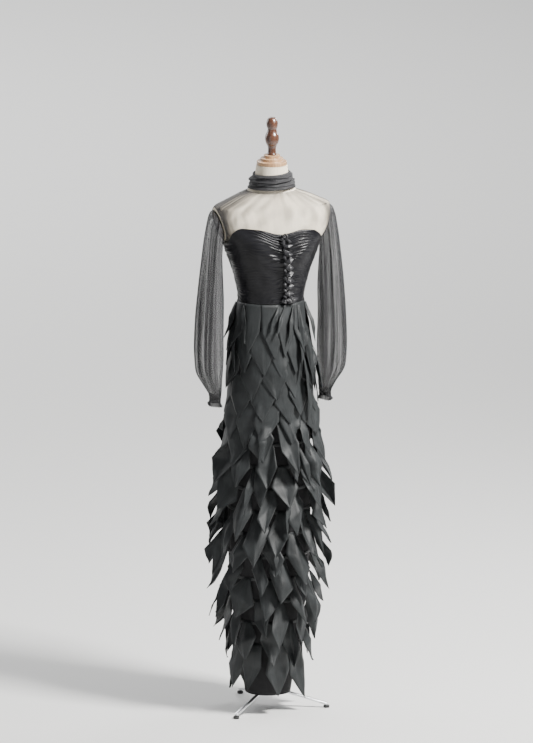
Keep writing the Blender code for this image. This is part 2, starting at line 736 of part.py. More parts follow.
def build_yokes(parts):
    """Front and back yokes from the bodice's top edge to the neck, split at the shoulders."""
    for name, turn in (("yoke_front", 0.0), ("yoke_back", pi)):
        rows = []
        for share in yoke_climb():
            row = []
            for column in chest_range():
                angle, height = yoke_spot(column, turn, share, SHOULDER_SEAM, YOKE_SEAM)
                if abs(column) == CHEST_COLUMNS and armhole_angle(height) < SHOULDER_SEAM:
                    angle -= ARMHOLE_SETBACK * (1 if column > 0 else -1)
                row.append(torso_point(angle, height, YOKE_REST))
            rows.append(row)
        add_sheet(parts, name, rows, False, NET_WALL, 1, NET)


def build_collar(parts):
    """Net wrapped round the neck in slanting folds."""
    rows = []
    lowest = COLLAR_SECTIONS[0].height
    tallness = COLLAR_SECTIONS[-1].height - lowest
    for share in shares(COLLAR_ROWS):
        height = lowest + tallness * share
        half_width = value_at(COLLAR_SECTIONS, "height", "half_width", height)
        half_depth = value_at(COLLAR_SECTIONS, "height", "half_depth", height)
        lift = value_at(COLLAR_SECTIONS, "height", "lift", height)
        row = []
        for column in range(COLLAR_COLUMNS):
            angle = 2 * pi * column / COLLAR_COLUMNS
            fold = COLLAR_FOLD_DEPTH * sin(COLLAR_FOLDS * angle - COLLAR_TWIST * share * COLLAR_FOLDS)
            fold *= sin(pi * (COLLAR_FOLD_START + COLLAR_FOLD_SPAN * share))
            x = (half_width + fold) * sin(angle)
            y = -(half_depth + fold) * cos(angle)
            row.append(Vector((x, y, height + lift * sin(angle))))
        rows.append(row)
    add_sheet(parts, "collar", rows, True, NET_WALL, 1, NET)


def fold_scale(count, depth, angle, size, phase):
    """Factor that raises or sinks a ring's point for the folds of gathered net."""
    return 1 + depth * cos(count * angle + phase) / size


def build_sleeves(parts):
    """Full net sleeves that hang from the armholes into gathered cuffs."""
    for side, name, phase in ((1, "left", LEFT_FOLD_PHASE), (-1, "right", RIGHT_FOLD_PHASE)):
        rows = []
        for section in reversed(SLEEVE_SECTIONS):
            inner = Vector((section.inner_x, 0, section.inner_z))
            outer = Vector((section.outer_x, 0, section.outer_z))
            centre = (inner + outer) / 2
            reach = (outer - inner) / 2
            size = (reach.length + section.half_depth) / 2
            row = []
            for column in range(SLEEVE_COLUMNS):
                angle = 2 * pi * column / SLEEVE_COLUMNS
                scale = fold_scale(SLEEVE_FOLDS, section.fold_depth, angle, size, phase)
                deep = Vector((0, section.half_depth * sin(angle), 0))
                point = centre + (reach * cos(angle) + deep) * scale
                point.x *= side
                row.append(point)
            rows.append(row if side > 0 else row[::-1])
        add_sheet(parts, f"sleeve_{name}", rows, True, NET_WALL, -1, NET)
        cuff_rows = []
        for section in CUFF_SECTIONS:
            row = []
            for column in range(CUFF_COLUMNS):
                angle = 2 * pi * column / CUFF_COLUMNS
                scale = fold_scale(CUFF_FOLDS, section.fold_depth, angle, section.half_width, phase)
                x = section.centre_x + section.half_width * cos(angle) * scale
                y = section.half_depth * sin(angle) * scale
                row.append(Vector((side * x, y, section.height)))
            cuff_rows.append(row if side > 0 else row[::-1])
        add_sheet(parts, f"cuff_{name}", cuff_rows, True, NET_WALL, -1, NET)


# Skirt

def tier_heights():
    """Heights at which the petal tiers are sewn on, from the waist down."""
    step = (FIRST_TIER - LAST_TIER) / (TIER_COUNT - 1)
    return [FIRST_TIER - step * k for k in range(TIER_COUNT)]


def build_underskirt(parts):
    """Narrow under-skirt as a front and a back that meet at side seams."""
    heights = [SKIRT_HEM, LOW_ROW] + tier_heights()[::-1] + [SKIRT_TOP]
    for name, turn in (("underskirt_front", 0.0), ("underskirt_back", pi)):
        rows = []
        for height in heights:
            setback = SIDE_SETBACK / section_at(SKIRT_SECTIONS, height).front_depth
            row = []
            for place in shares(SKIRT_COLUMNS + 1):
                angle = turn + (2 * place - 1) * (pi / 2 - setback)
                row.append(skirt_base(angle, height))
            rows.append(row)
        add_sheet(parts, name, rows, False, UNDERSKIRT_WALL, -1, LINING_CLOTH)


def arc_angles(height, count, phase):
    """Angles that share the under-skirt's girth at a height evenly, starting at a phase."""
    marks = [2 * pi * k / GIRTH_STEPS for k in range(GIRTH_STEPS + 1)]
    points = [skirt_base(mark, height) for mark in marks]
    lengths = [0.0]
    for before, after in zip(points, points[1:]):
        lengths.append(lengths[-1] + (after - before).length)
    girth = lengths[-1]
    angles = []
    for k in range(count):
        wanted = girth * (k + phase) / count
        rounds = int(wanted // girth)
        wanted -= rounds * girth
        at = max(i for i in range(GIRTH_STEPS) if lengths[i] <= wanted)
        share = (wanted - lengths[at]) / (lengths[at + 1] - lengths[at])
        angles.append(marks[at] + share * (marks[at + 1] - marks[at]) + rounds * 2 * pi)
    return angles, girth


def tape_rest(girth, count):
    """Distance of a tape's corners from the under-skirt, so that its straight stretches clear it."""
    sag = pi * girth / (4 * count * count)
    return SEAM_GAP + TAPE_SAG_SHARE * sag


def tape_point(angle, height, rest):
    """Point of a tier's sewn tape on the under-skirt."""
    return skirt_base(angle, height) + facing(skirt_base, angle, height) * rest


def petal_points(height, angle, shape, girth, rest, chance):
    """Left corner, folded middle, right corner and tip of one hanging petal."""
    outward = facing(skirt_base, angle, height)
    outward.z = 0
    outward.normalize()
    sideways = Vector((0, 0, 1)).cross(outward)
    room = girth * (1 + shape.flare * CORNER_SHARE * 2 * pi / girth) / shape.petals
    half = min(PETAL_WIDEST, PETAL_SPACING_SHARE * room) / 2 * chance.uniform(*WIDTH_RANGE)
    turn = shape.turn * chance.uniform(*TURN_RANGE)
    fold = shape.fold * chance.uniform(*FOLD_RANGE)
    flare = shape.flare * chance.uniform(*FLARE_RANGE)
    drop = shape.drop * chance.uniform(*DROP_RANGE)
    swing = half * chance.uniform(*SWING_RANGE)

    def place(share, across, reach, raised):
        low = height - drop * share
        out = rest + flare * share ** FLARE_POWER + raised + across * reach * sin(turn)
        middle = skirt_base(angle, low)
        return middle + outward * out + sideways * (across * reach * cos(turn) + swing * share)

    return [place(CORNER_SHARE, -1, half, 0), place(CORNER_SHARE, 0, half, fold),
            place(CORNER_SHARE, 1, half, 0), place(1.0, 0, 0, 0)]


def build_tier(parts, number, height):
    """One tape with the petals that hang from it, as a single cut sheet."""
    shape = TierShape(height, *(value_at(TIER_SHAPES, "height", column, height)
                                for column in TierShape._fields[1:]))
    shape = shape._replace(petals=round(shape.petals))
    chance = random.Random(PETAL_SEED * TIER_SEEDS + number)
    phase = 0.5 * (number % 2)
    edges, girth = arc_angles(height, 2 * shape.petals, 2 * phase - 0.5)
    middles, girth = arc_angles(height, shape.petals, phase)
    count = len(edges)
    rest = tape_rest(girth, count)
    points = [tape_point(angle, height, rest) for angle in edges]
    points += [tape_point(angle, height + TAPE_TALLNESS, rest) for angle in edges]
    faces = grid_faces(2, count, True)
    for petal, angle in enumerate(middles):
        top_left = 2 * petal
        top_right = top_left + 1
        start = len(points)
        points += petal_points(height, angle, shape, girth, rest, chance)
        left, middle, right, tip = range(start, start + 4)
        faces += [
            (left, middle, top_left),
            (middle, top_right, top_left),
            (middle, right, top_right),
            (tip, middle, left),
            (tip, right, middle),
        ]
    name = f"petal_tier_{number:02d}"
    piece = add_object(parts, name, mesh_from_faces(name, points, faces), TAFFETA)
    add_thickness(piece, TAFFETA_WALL, 1)


def build_skirt(parts):
    """Under-skirt covered by its petal tiers."""
    build_underskirt(parts)
    for number, height in enumerate(tier_heights(), 1):
        build_tier(parts, number, height)


def centre_on_box(parts):
    """Move all pieces so that the middle of the whole part's box stands over the origin."""
    bpy.context.view_layer.update()
    depsgraph = bpy.context.evaluated_depsgraph_get()
    spots = []
    for piece in parts.objects:
        seen = piece.evaluated_get(depsgraph)
        spots += [seen.matrix_world @ Vector(corner) for corner in seen.bound_box]
    middle_x = (min(spot.x for spot in spots) + max(spot.x for spot in spots)) / 2
    middle_y = (min(spot.y for spot in spots) + max(spot.y for spot in spots)) / 2
    for piece in parts.objects:
        piece.location = (-middle_x, -middle_y, 0)


def main():
    parts = clear_scene()
    build_torso(parts)
    build_armhole_plates(parts)
    build_cap_and_stand(parts)
    build_bodice(parts)
    build_ruffle_strip(parts)
    build_yokes(parts)
    build_collar(parts)
    build_sleeves(parts)
    build_skirt(parts)
    centre_on_box(parts)


main()
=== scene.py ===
"""Looks of the black evening dress on its dress form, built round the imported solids.

Angles round the body start at the centre front (-Y) and grow towards the wearer's left (+X).
"""

import logging
import math
import random
from dataclasses import dataclass, field
from enum import Enum
from typing import Callable, Optional, Sequence

import bmesh
import bpy
import numpy as np
from mathutils import Matrix, Vector


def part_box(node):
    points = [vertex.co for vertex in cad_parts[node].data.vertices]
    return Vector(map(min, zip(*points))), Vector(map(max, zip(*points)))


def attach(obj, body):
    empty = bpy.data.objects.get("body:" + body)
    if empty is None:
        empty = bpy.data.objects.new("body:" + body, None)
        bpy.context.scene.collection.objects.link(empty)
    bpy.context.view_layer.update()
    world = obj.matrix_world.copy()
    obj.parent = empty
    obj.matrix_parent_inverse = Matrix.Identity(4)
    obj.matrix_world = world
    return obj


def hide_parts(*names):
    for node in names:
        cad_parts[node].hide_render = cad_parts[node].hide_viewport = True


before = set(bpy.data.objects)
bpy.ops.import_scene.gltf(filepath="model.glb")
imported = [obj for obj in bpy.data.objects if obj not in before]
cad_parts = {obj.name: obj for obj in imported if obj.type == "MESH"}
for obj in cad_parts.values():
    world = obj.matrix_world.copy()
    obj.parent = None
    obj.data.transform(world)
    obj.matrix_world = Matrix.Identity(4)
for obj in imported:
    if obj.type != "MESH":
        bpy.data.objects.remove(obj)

LOG = logging.getLogger("evening_dress")
ROOT = "root"
CLOTH_MAP = "cloth"
# Net density on each point: gathered net, seams and folds, and on the yoke also painted shade
GATHER_MAP = "gather"
TAU = 2 * math.pi
Colour = tuple[float, float, float]
Array = np.ndarray
Mesh = bpy.types.Mesh
Piece = bpy.types.Object
Material = bpy.types.Material
NodeTree = bpy.types.NodeTree


class Held(Enum):
    """How a sheet of cloth is held."""

    HUNG = "hung"
    GATHERED = "gathered"
    STRETCHED = "stretched"


# Sizes shared with the solids

SEAM_GAP = 0.0003
WAIST = 1.3000
BACK_TOP = 1.4830
YOKE_TOP = 1.6455
ARMHOLE_FOOT = 1.490
ARMHOLE_TOP = 1.597
ARMHOLE_FOOT_X = 0.1524
ARMHOLE_TOP_X = 0.1840
PLACKET_DRIFT = math.radians(14)
BUST_HEIGHT = 1.478
BUST_RISE = 0.045
BUST_ANGLE = math.radians(30)
BUST_SPREAD = math.radians(21)

# Bodies: height, half width, front depth, back depth, squareness
TORSO_SECTIONS = (
    (1.0200, 0.1120, 0.0900, 0.0960, 2.0),
    (1.0900, 0.1160, 0.0960, 0.1030, 2.0),
    (1.2000, 0.1080, 0.0880, 0.0910, 2.0),
    (1.3000, 0.0990, 0.0785, 0.0785, 2.0),
    (1.3800, 0.1130, 0.0910, 0.0840, 2.1),
    (1.4400, 0.1330, 0.1030, 0.0900, 2.2),
    (1.4900, 0.1510, 0.1070, 0.0950, 2.3),
    (1.5170, 0.1695, 0.1030, 0.0970, 2.4),
    (1.5435, 0.1855, 0.0950, 0.0940, 2.4),
    (1.5700, 0.1912, 0.0850, 0.0880, 2.4),
    (1.5850, 0.1890, 0.0780, 0.0810, 2.3),
    (1.5970, 0.1842, 0.0720, 0.0740, 2.2),
    (1.6120, 0.1560, 0.0660, 0.0690, 2.1),
    (1.6300, 0.1170, 0.0610, 0.0640, 2.0),
    (1.6470, 0.0740, 0.0570, 0.0600, 2.0),
    (1.6650, 0.0570, 0.0520, 0.0530, 2.0),
    (1.7240, 0.0480, 0.0480, 0.0480, 2.0),
)
SKIRT_SECTIONS = (
    (0.0520, 0.0720, 0.0700, 0.0720, 2.0),
    (0.1600, 0.0880, 0.0860, 0.0880, 2.0),
    (0.2800, 0.1080, 0.1040, 0.1070, 2.0),
    (0.4200, 0.1230, 0.1170, 0.1210, 2.0),
    (0.6000, 0.1300, 0.1220, 0.1260, 2.0),
    (0.8000, 0.1280, 0.1180, 0.1210, 2.0),
    (0.9800, 0.1250, 0.1120, 0.1150, 2.0),
    (1.1200, 0.1220, 0.1060, 0.1090, 2.0),
    (1.2300, 0.1140, 0.0950, 0.0970, 2.0),
    (1.2997, 0.1035, 0.0830, 0.0830, 2.0),
)
# Top edge of the bodice: angle, height
SWEETHEART = tuple((math.radians(angle), height) for angle, height in (
    (-110, BACK_TOP), (-90, 1.4860), (-72, 1.5000), (-60, 1.5150), (-50, 1.5320), (-36, 1.5450),
    (-17, 1.5390), (0, 1.5245), (17, 1.5340), (30, 1.5310), (45, 1.5160), (60, 1.4985),
    (74, 1.4895), (90, 1.4860), (110, BACK_TOP),
))
# Collar: height, half width, half depth, lift at the wearer's left
COLLAR_SECTIONS = (
    (1.6488, 0.0762, 0.0625, 0.0000),
    (1.6600, 0.0700, 0.0630, 0.0010),
    (1.6750, 0.0670, 0.0620, 0.0020),
    (1.6900, 0.0620, 0.0590, 0.0030),
    (1.7010, 0.0560, 0.0550, 0.0040),
)
# Sleeve: place, inner x and z, outer x and z, half depth, fold depth
SLEEVE_SECTIONS = (
    (0, 0.1570, 1.4995, 0.1836, 1.5900, 0.0420, 0.0000),
    (1, 0.1590, 1.4890, 0.1930, 1.5875, 0.0460, 0.0006),
    (2, 0.1605, 1.4700, 0.2010, 1.5720, 0.0480, 0.0012),
    (3, 0.1605, 1.4300, 0.2120, 1.5200, 0.0490, 0.0020),
    (4, 0.1590, 1.3700, 0.2220, 1.4400, 0.0500, 0.0026),
    (5, 0.1580, 1.3000, 0.2330, 1.3400, 0.0530, 0.0030),
    (6, 0.1580, 1.2200, 0.2410, 1.2400, 0.0560, 0.0032),
    (7, 0.1580, 1.1500, 0.2440, 1.1550, 0.0570, 0.0032),
    (8, 0.1590, 1.0850, 0.2400, 1.0850, 0.0530, 0.0030),
    (9, 0.1610, 1.0350, 0.2150, 1.0350, 0.0420, 0.0026),
    (10, 0.1620, 1.0050, 0.1960, 1.0050, 0.0320, 0.0014),
)
# Cuff: height, half width, half depth, fold depth
CUFF_SECTIONS = (
    (0.9740, 0.0185, 0.0345, 0.0020),
    (0.9850, 0.0160, 0.0310, 0.0008),
    (0.9960, 0.0160, 0.0310, 0.0008),
    (1.0045, 0.0170, 0.0320, 0.0014),
)
# Tiers of petals: height, petals, drop, flare, turn, fold
TIER_SHAPES = tuple((*sizes, math.radians(turn), fold) for *sizes, turn, fold in (
    (0.200, 9, 0.128, 0.042, 18, 0.005),
    (0.290, 10, 0.130, 0.052, 22, 0.008),
    (0.360, 11, 0.128, 0.062, 27, 0.010),
    (0.500, 11, 0.127, 0.067, 30, 0.011),
    (0.700, 11, 0.127, 0.065, 30, 0.011),
    (0.880, 11, 0.130, 0.054, 22, 0.009),
    (1.000, 11, 0.132, 0.036, 11, 0.004),
    (1.150, 11, 0.140, 0.026, 7, 0.003),
    (1.290, 11, 0.140, 0.021, 5, 0.002),
))
CAP_PROFILE = (
    (0.0000, 1.7550), (0.0240, 1.7550), (0.0250, 1.7540), (0.0250, 1.7460), (0.0340, 1.7455),
    (0.0350, 1.7440), (0.0350, 1.7370), (0.0450, 1.7360), (0.0465, 1.7340), (0.0465, 1.7265),
    (0.0450, 1.7243), (0.0000, 1.7243),
)
FINIAL_PROFILE = (
    (0.0000, 1.8720), (0.0080, 1.8720), (0.0150, 1.8650), (0.0180, 1.8540), (0.0170, 1.8440),
    (0.0140, 1.8350), (0.0155, 1.8270), (0.0205, 1.8160), (0.0218, 1.8050), (0.0195, 1.7930),
    (0.0145, 1.7830), (0.0124, 1.7740), (0.0126, 1.7640), (0.0150, 1.7570), (0.0150, 1.7553),
    (0.0000, 1.7553),
)


# Curves and surfaces

class SmoothTable:
    """A small table read as smooth curves over its first column."""

    def __init__(self, rows: Sequence[Sequence[float]]) -> None:
        """Keep the columns and work out slopes that never overshoot.

        Args:
            rows: rows in the rising order of their first value, the key.
        """
        values = np.array(rows, float)
        self.keys, self.columns = values[:, 0], values.T[1:]
        self.slopes: list[Array] = []
        for column in self.columns:
            steps = np.diff(column) / np.diff(self.keys)
            before, after = steps[:-1], steps[1:]
            total = np.where(before * after > 0, before + after, 1.0)
            middle = np.where(before * after > 0, 2 * before * after / total, 0.0)
            self.slopes.append(np.concatenate([steps[:1], middle, steps[-1:]]))

    def at(self, spots: Array) -> list[Array]:
        """Values of every column after the key, in their order.

        Args:
            spots: keys, held to the table's range.

        Returns:
            For each column an array of the spots' shape.
        """
        spots = np.clip(np.asarray(spots, float), self.keys[0], self.keys[-1])
        low = np.clip(np.searchsorted(self.keys, spots, side="right") - 1, 0, len(self.keys) - 2)
        span = self.keys[low + 1] - self.keys[low]
        share = (spots - self.keys[low]) / span
        rise = share * share * (3 - 2 * share)
        leave = share * (1 - share) ** 2 * span
        arrive = share * share * (share - 1) * span
        return [column[low] + rise * (column[low + 1] - column[low])
                + leave * slope[low] + arrive * slope[low + 1]
                for column, slope in zip(self.columns, self.slopes)]


def wrapped(angle: Array) -> Array:
    """Angles brought between minus and plus half a turn."""
    return (angle + math.pi) % TAU - math.pi


def unit(vectors: Array) -> Array:
    """Vectors scaled to a length of one."""
    return vectors / np.maximum(np.linalg.norm(vectors, axis=-1, keepdims=True), 1e-12)


def ring_of(count: int) -> Array:
    """Even angles all round, from zero."""
    return np.arange(count) * TAU / count


def bump_over(spots: Array, centre: float, width: float) -> Array:
    """A smooth bump of height one at a centre."""
    return np.exp(-(((spots - centre) / width) ** 2))


def ripple(across: Array, along: Array, seed: int, waves: int = 7) -> Array:
    """Uneven smooth relief between about -1 and 1, from a few slanting waves.

    Args:
        across: first coordinate, in units of the relief's size.
        along: second coordinate, in the same units.
        seed: picks the waves.
        waves: how many are summed.

    Returns:
        An array of the coordinates' shape.
    """
    chance = random.Random(seed)
    total = np.zeros(np.broadcast(across, along).shape)
    for _ in range(waves):
        turn = chance.uniform(0, TAU)
        pace = chance.uniform(0.6, 2.2)
        total += np.sin(pace * (across * math.cos(turn) + along * math.sin(turn)) * TAU
                        + chance.uniform(0, TAU))
    return total / math.sqrt(waves)


class BodySurface:
    """A rounded surface of angle and height, read from a table of sections."""

    def __init__(self, sections: Sequence[Sequence[float]], fullness: float = 0.0) -> None:
        """Keep the sections' table, and how far the bust stands proud."""
        self.table = SmoothTable(sections)
        self.fullness = fullness

    def point(self, angle: Array, height: Array, rest: float = 0.0) -> Array:
        """Points of the surface, or of a cloth at a distance from it.

        Args:
            angle: angles from the centre front.
            height: heights.
            rest: distance outwards, one number or an array.

        Returns:
            An array of points with a last axis of three.
        """
        angle, height = np.broadcast_arrays(np.asarray(angle, float), np.asarray(height, float))
        spots = self.base(angle, height)
        if np.any(rest):
            spots = spots + self.normal(angle, height) * np.asarray(rest)[..., None]
        return spots

    def base(self, angle: Array, height: Array) -> Array:
        """Points of the bare surface.

        Args:
            angle: angles from the centre front.
            height: heights above the floor.

        Returns:
            An array of points with a last axis of three.
        """
        width, front, back, squareness = self.table.at(height)
        power = 2 / squareness
        across, ahead = np.sin(angle), np.cos(angle)
        x = width * np.abs(across) ** power * np.sign(across)
        y = -np.where(ahead > 0, front, back) * np.abs(ahead) ** power * np.sign(ahead)
        if self.fullness:
            sideways = (np.abs(wrapped(angle)) - BUST_ANGLE) / BUST_SPREAD
            upward = (height - BUST_HEIGHT) / BUST_RISE
            rise = self.fullness * np.exp(-sideways ** 2 - upward ** 2)
            length = np.maximum(np.hypot(x, y), 1e-9)
            x, y = x + x / length * rise, y + y / length * rise
        return np.stack([x, y, height], axis=-1)

    def normal(self, angle: Array, height: Array) -> Array:
        """Outward directions of the surface.

        Args:
            angle: angles from the centre front.
            height: heights above the floor.

        Returns:
            An array of unit vectors with a last axis of three.
        """
        turn, step = 0.005, 0.001
        sideways = self.base(angle + turn, height) - self.base(angle - turn, height)
        upward = self.base(angle, height + step) - self.base(angle, height - step)
        return unit(np.cross(sideways, upward))


TORSO = BodySurface(TORSO_SECTIONS, fullness=0.008)
SKIRT = BodySurface(SKIRT_SECTIONS)
TOP_EDGE = SmoothTable(SWEETHEART)


def stand_axis() -> Array:
    """Place of the stand's axis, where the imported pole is."""
    low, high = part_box("pole")
    middle = (low + high) / 2
    return np.array([middle.x, middle.y, 0.0])


def bodice_top(angle: Array) -> Array:
    """Heights of the bodice's top edge."""
    return TOP_EDGE.at(wrapped(np.asarray(angle)))[0]


FRONT_RISE = float(bodice_top(np.array(0.0))) - WAIST


def armhole_x(height: Array) -> Array:
    """Distance of the armhole's slanted plane from the middle."""
    share = (height - ARMHOLE_FOOT) / (ARMHOLE_TOP - ARMHOLE_FOOT)
    return ARMHOLE_FOOT_X + share * (ARMHOLE_TOP_X - ARMHOLE_FOOT_X)


def armhole_angle(height: Array, widest: float) -> Array:
    """Angle at which the armhole's plane cuts the torso, or the widest angle off the armhole.

    Args:
        height: heights on the torso.
        widest: angle to use off the armhole.

    Returns:
        Angles in radians.
    """
    width, _, _, squareness = TORSO.table.at(height)
    share = np.clip(armhole_x(height) / width, 0, 1) ** (squareness / 2)
    inside = (height > ARMHOLE_FOOT) & (height < ARMHOLE_TOP)
    return np.where(inside, np.minimum(widest, np.arcsin(share)), widest)


# Meshes

def linked(name: str, data: bpy.types.ID) -> Piece:
    """A new object of the scene, at the origin.

    Args:
        name: its name.
        data: its mesh, light or camera.

    Returns:
        The object.
    """
    holder = bpy.data.objects.new(name, data)
    bpy.context.scene.collection.objects.link(holder)
    return holder


def make_object(name: str, mesh: Mesh, finish: Material) -> Piece:
    """Link a mesh as a smooth object at the origin.

    Args:
        name: the piece's name.
        mesh: its mesh, in the row frame.
        finish: its material.

    Returns:
        The new object.
    """
    mesh.materials.clear()
    mesh.materials.append(finish)
    mesh.shade_smooth()
    return linked(name, mesh)


def mesh_of(name: str, points: Array, faces: Sequence[Sequence[int]],
            places: Optional[Sequence[tuple[float, float]]] = None) -> Mesh:
    """A mesh of points and faces, moved onto the stand's axis.

    Args:
        name: the mesh's name.
        points: points about the stand's axis.
        faces: corner numbers of each face.
        places: place of each face corner on the flat cloth, in metres.

    Returns:
        The mesh.
    """
    mesh = bpy.data.meshes.new(name)
    mesh.from_pydata((np.asarray(points).reshape(-1, 3) + stand_axis()).tolist(), [], faces)
    if places is not None:
        layer = mesh.uv_layers.new(name=CLOTH_MAP)
        layer.data.foreach_set("uv", np.asarray(places, np.float32).ravel())
    mesh.validate()
    return mesh


def grid_mesh(name: str, rows: Array, around: bool) -> Mesh:
    """A cloth sheet on a grid that climbs in rows and runs round in columns, facing out.

    Args:
        name: the mesh's name.
        rows: points as an array of rows, columns and three.
        around: whether the last column joins the first.

    Returns:
        The mesh, with its cloth map in metres.
    """
    row_count, column_count = rows.shape[:2]
    closed = np.concatenate([rows, rows[:, :1]], axis=1) if around else rows
    across = np.linalg.norm(np.diff(closed, axis=1), axis=-1).mean(axis=0)
    along = np.linalg.norm(np.diff(rows, axis=0), axis=-1).mean(axis=1)
    u = np.concatenate([[0.0], np.cumsum(across)])
    v = np.concatenate([[0.0], np.cumsum(along)])
    faces, places = [], []
    for row in range(row_count - 1):
        for column in range(column_count if around else column_count - 1):
            after = (column + 1) % column_count
            low, high = row * column_count, (row + 1) * column_count
            faces.append((low + column, low + after, high + after, high + column))
            places += [(u[column], v[row]), (u[column + 1], v[row]),
                       (u[column + 1], v[row + 1]), (u[column], v[row + 1])]
    return mesh_of(name, rows, faces, places)


def revolve_mesh(name: str, profile: Sequence[tuple[float, float]], steps: int,
                 fineness: int) -> Mesh:
    """A turned solid from a profile that runs from its top pole to its bottom pole.

    Args:
        name: the mesh's name.
        profile: radius and height of each point.
        steps: sides of each ring.
        fineness: rings between two profile points.

    Returns:
        The closed mesh.
    """
    spots = np.array(profile, float)
    table = SmoothTable([(k, *spot) for k, spot in enumerate(spots)])
    marks = np.linspace(0, len(spots) - 1, (len(spots) - 1) * fineness + 1)[1:-1]
    radius, height = table.at(marks)
    turn = ring_of(steps)
    rings = np.stack([radius[:, None] * np.cos(turn), radius[:, None] * np.sin(turn),
                      np.broadcast_to(height[:, None], (len(marks), steps))], axis=-1)
    points = np.concatenate([rings.reshape(-1, 3), [[0, 0, spots[0, 1]], [0, 0, spots[-1, 1]]]])
    top = len(points) - 2
    bottom = top + 1
    last = (len(marks) - 1) * steps
    faces: list[tuple[int, ...]] = []
    for k in range(steps):
        after = (k + 1) % steps
        faces.append((top, k, after))
        faces.append((bottom, last + after, last + k))
        for ring in range(len(marks) - 1):
            high, low = ring * steps, (ring + 1) * steps
            faces.append((high + k, low + k, low + after, high + after))
    return mesh_of(name, points, faces)


def kept(shape: bmesh.types.BMesh, mesh: Mesh) -> Mesh:
    """Write an edited shape to a mesh and let the shape go.

    Args:
        shape: the edited shape.
        mesh: the mesh that takes it.

    Returns:
        The same mesh.
    """
    shape.to_mesh(mesh)
    shape.free()
    return mesh


def capped(mesh: Mesh) -> Mesh:
    """Fill the open ends of a tube and turn its faces outwards.

    Args:
        mesh: an open tube.

    Returns:
        The same mesh.
    """
    shape = bmesh.new()
    shape.from_mesh(mesh)
    bmesh.ops.holes_fill(shape, edges=[edge for edge in shape.edges if edge.is_boundary])
    bmesh.ops.recalc_face_normals(shape, faces=shape.faces)
    return kept(shape, mesh)


def spots_of(mesh: Mesh) -> Array:
    """Places of a mesh's points.

    Args:
        mesh: the mesh.

    Returns:
        An array with a row for each point.
    """
    spots = np.zeros(len(mesh.vertices) * 3, np.float32)
    mesh.vertices.foreach_get("co", spots)
    return spots.reshape(-1, 3)


def store_on(mesh: Mesh, label: str, values: Sequence[object]) -> None:
    """Keep a number or a triple for each point of a mesh, as a named attribute.

    Args:
        mesh: the mesh.
        label: the attribute's name.
        values: a number or a triple for each point.
    """
    table = np.array(values, np.float32)
    kind, key = ("FLOAT_VECTOR", "vector") if table.ndim == 2 else ("FLOAT", "value")
    mesh.attributes.new(label, kind, "POINT").data.foreach_set(key, table.ravel())


def thicken(piece: Piece, wall: float, side: float = -1.0) -> Piece:
    """Give an open sheet its cloth thickness.

    Args:
        piece: the sheet.
        wall: thickness in metres.
        side: 1 grows it outwards, -1 inwards.

    Returns:
        The same object.
    """
    solid = piece.modifiers.new("cloth thickness", "SOLIDIFY")
    solid.thickness = wall
    solid.offset = side
    return piece


def soften(piece: Piece, width: float, segments: int = 3) -> Piece:
    """Round a hard piece's edges.

    Args:
        piece: the solid.
        width: width of the rounding.
        segments: faces across it.

    Returns:
        The same object.
    """
    rounding = piece.modifiers.new("rounded edges", "BEVEL")
    rounding.width = width
    rounding.segments = segments
    rounding.limit_method = "ANGLE"
    return piece


def seat(piece: Piece, slot: str, *nodes: str) -> Piece:
    """Let a piece ride on the body, and stand for its solids.

    Args:
        piece: the finished piece.
        slot: the record's material slot; not used.
        nodes: solids that it replaces.

    Returns:
        The same object.
    """
    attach(piece, ROOT)
    if nodes:
        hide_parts(*nodes)
    LOG.info("%s: %d points", piece.name, len(piece.data.vertices))
    return piece


def frozen(piece: Piece) -> Piece:
    """Turn a piece's modifiers into its plain mesh.

    Args:
        piece: an object with modifiers.

    Returns:
        The same object.
    """
    depsgraph = bpy.context.evaluated_depsgraph_get()
    made = bpy.data.meshes.new_from_object(piece.evaluated_get(depsgraph))
    piece.modifiers.clear()
    piece.data = made
    piece.data.name = piece.name
    return piece


# Node trees

class Wire:
    """A value inside a node tree, which plain arithmetic extends with maths nodes."""

    def __init__(self, tree: NodeTree, socket: object) -> None:
        """Hold a socket, or a plain number, of a tree."""
        self.tree = tree
        self.socket = socket

    def maths(self, operation: str, *others: object, vector: bool = False) -> "Wire":
        """A maths node on this value and others.

        Args:
            operation: the node's operation.
            others: wires, numbers or triples.
            vector: whether it works on vectors.

        Returns:
            The node's result.
        """
        node = self.tree.nodes.new("ShaderNodeVectorMath" if vector else "ShaderNodeMath")
        node.operation = operation
        places = [socket for socket in node.inputs if socket.enabled]
        for place, value in zip(places, (self, *others)):
            join(self.tree, value, place)
        return Wire(self.tree, next(socket for socket in node.outputs if socket.enabled))

    def __add__(self, other: object) -> "Wire":
        """Sum of two numbers."""
        return self.maths("ADD", other)

    def __sub__(self, other: object) -> "Wire":
        """Difference of two numbers."""
        return self.maths("SUBTRACT", other)

    def __mul__(self, other: object) -> "Wire":
        """Product of two numbers."""
        return self.maths("MULTIPLY", other)

    def __pow__(self, other: object) -> "Wire":
        """Power of a number."""
        return self.maths("POWER", other)

    def plus(self, other: "Wire") -> "Wire":
        """Sum of two vectors."""
        return self.maths("ADD", other, vector=True)

    def minus(self, other: "Wire") -> "Wire":
        """Difference of two vectors."""
        return self.maths("SUBTRACT", other, vector=True)

    def scaled(self, factor: object) -> "Wire":
        """This vector times a number."""
        return self.maths("SCALE", factor, vector=True)

    def beside(self, label: str) -> "Wire":
        """Another result of the node that this value comes from."""
        return Wire(self.tree, self.socket.node.outputs[label])

    def clamped(self) -> "Wire":
        """This number held between 0 and 1."""
        made = self.maths("ADD", 0.0)
        made.socket.node.use_clamp = True
        return made

    def flipped(self) -> "Wire":
        """One minus this number."""
        return Wire(self.tree, 1.0).maths("SUBTRACT", self)


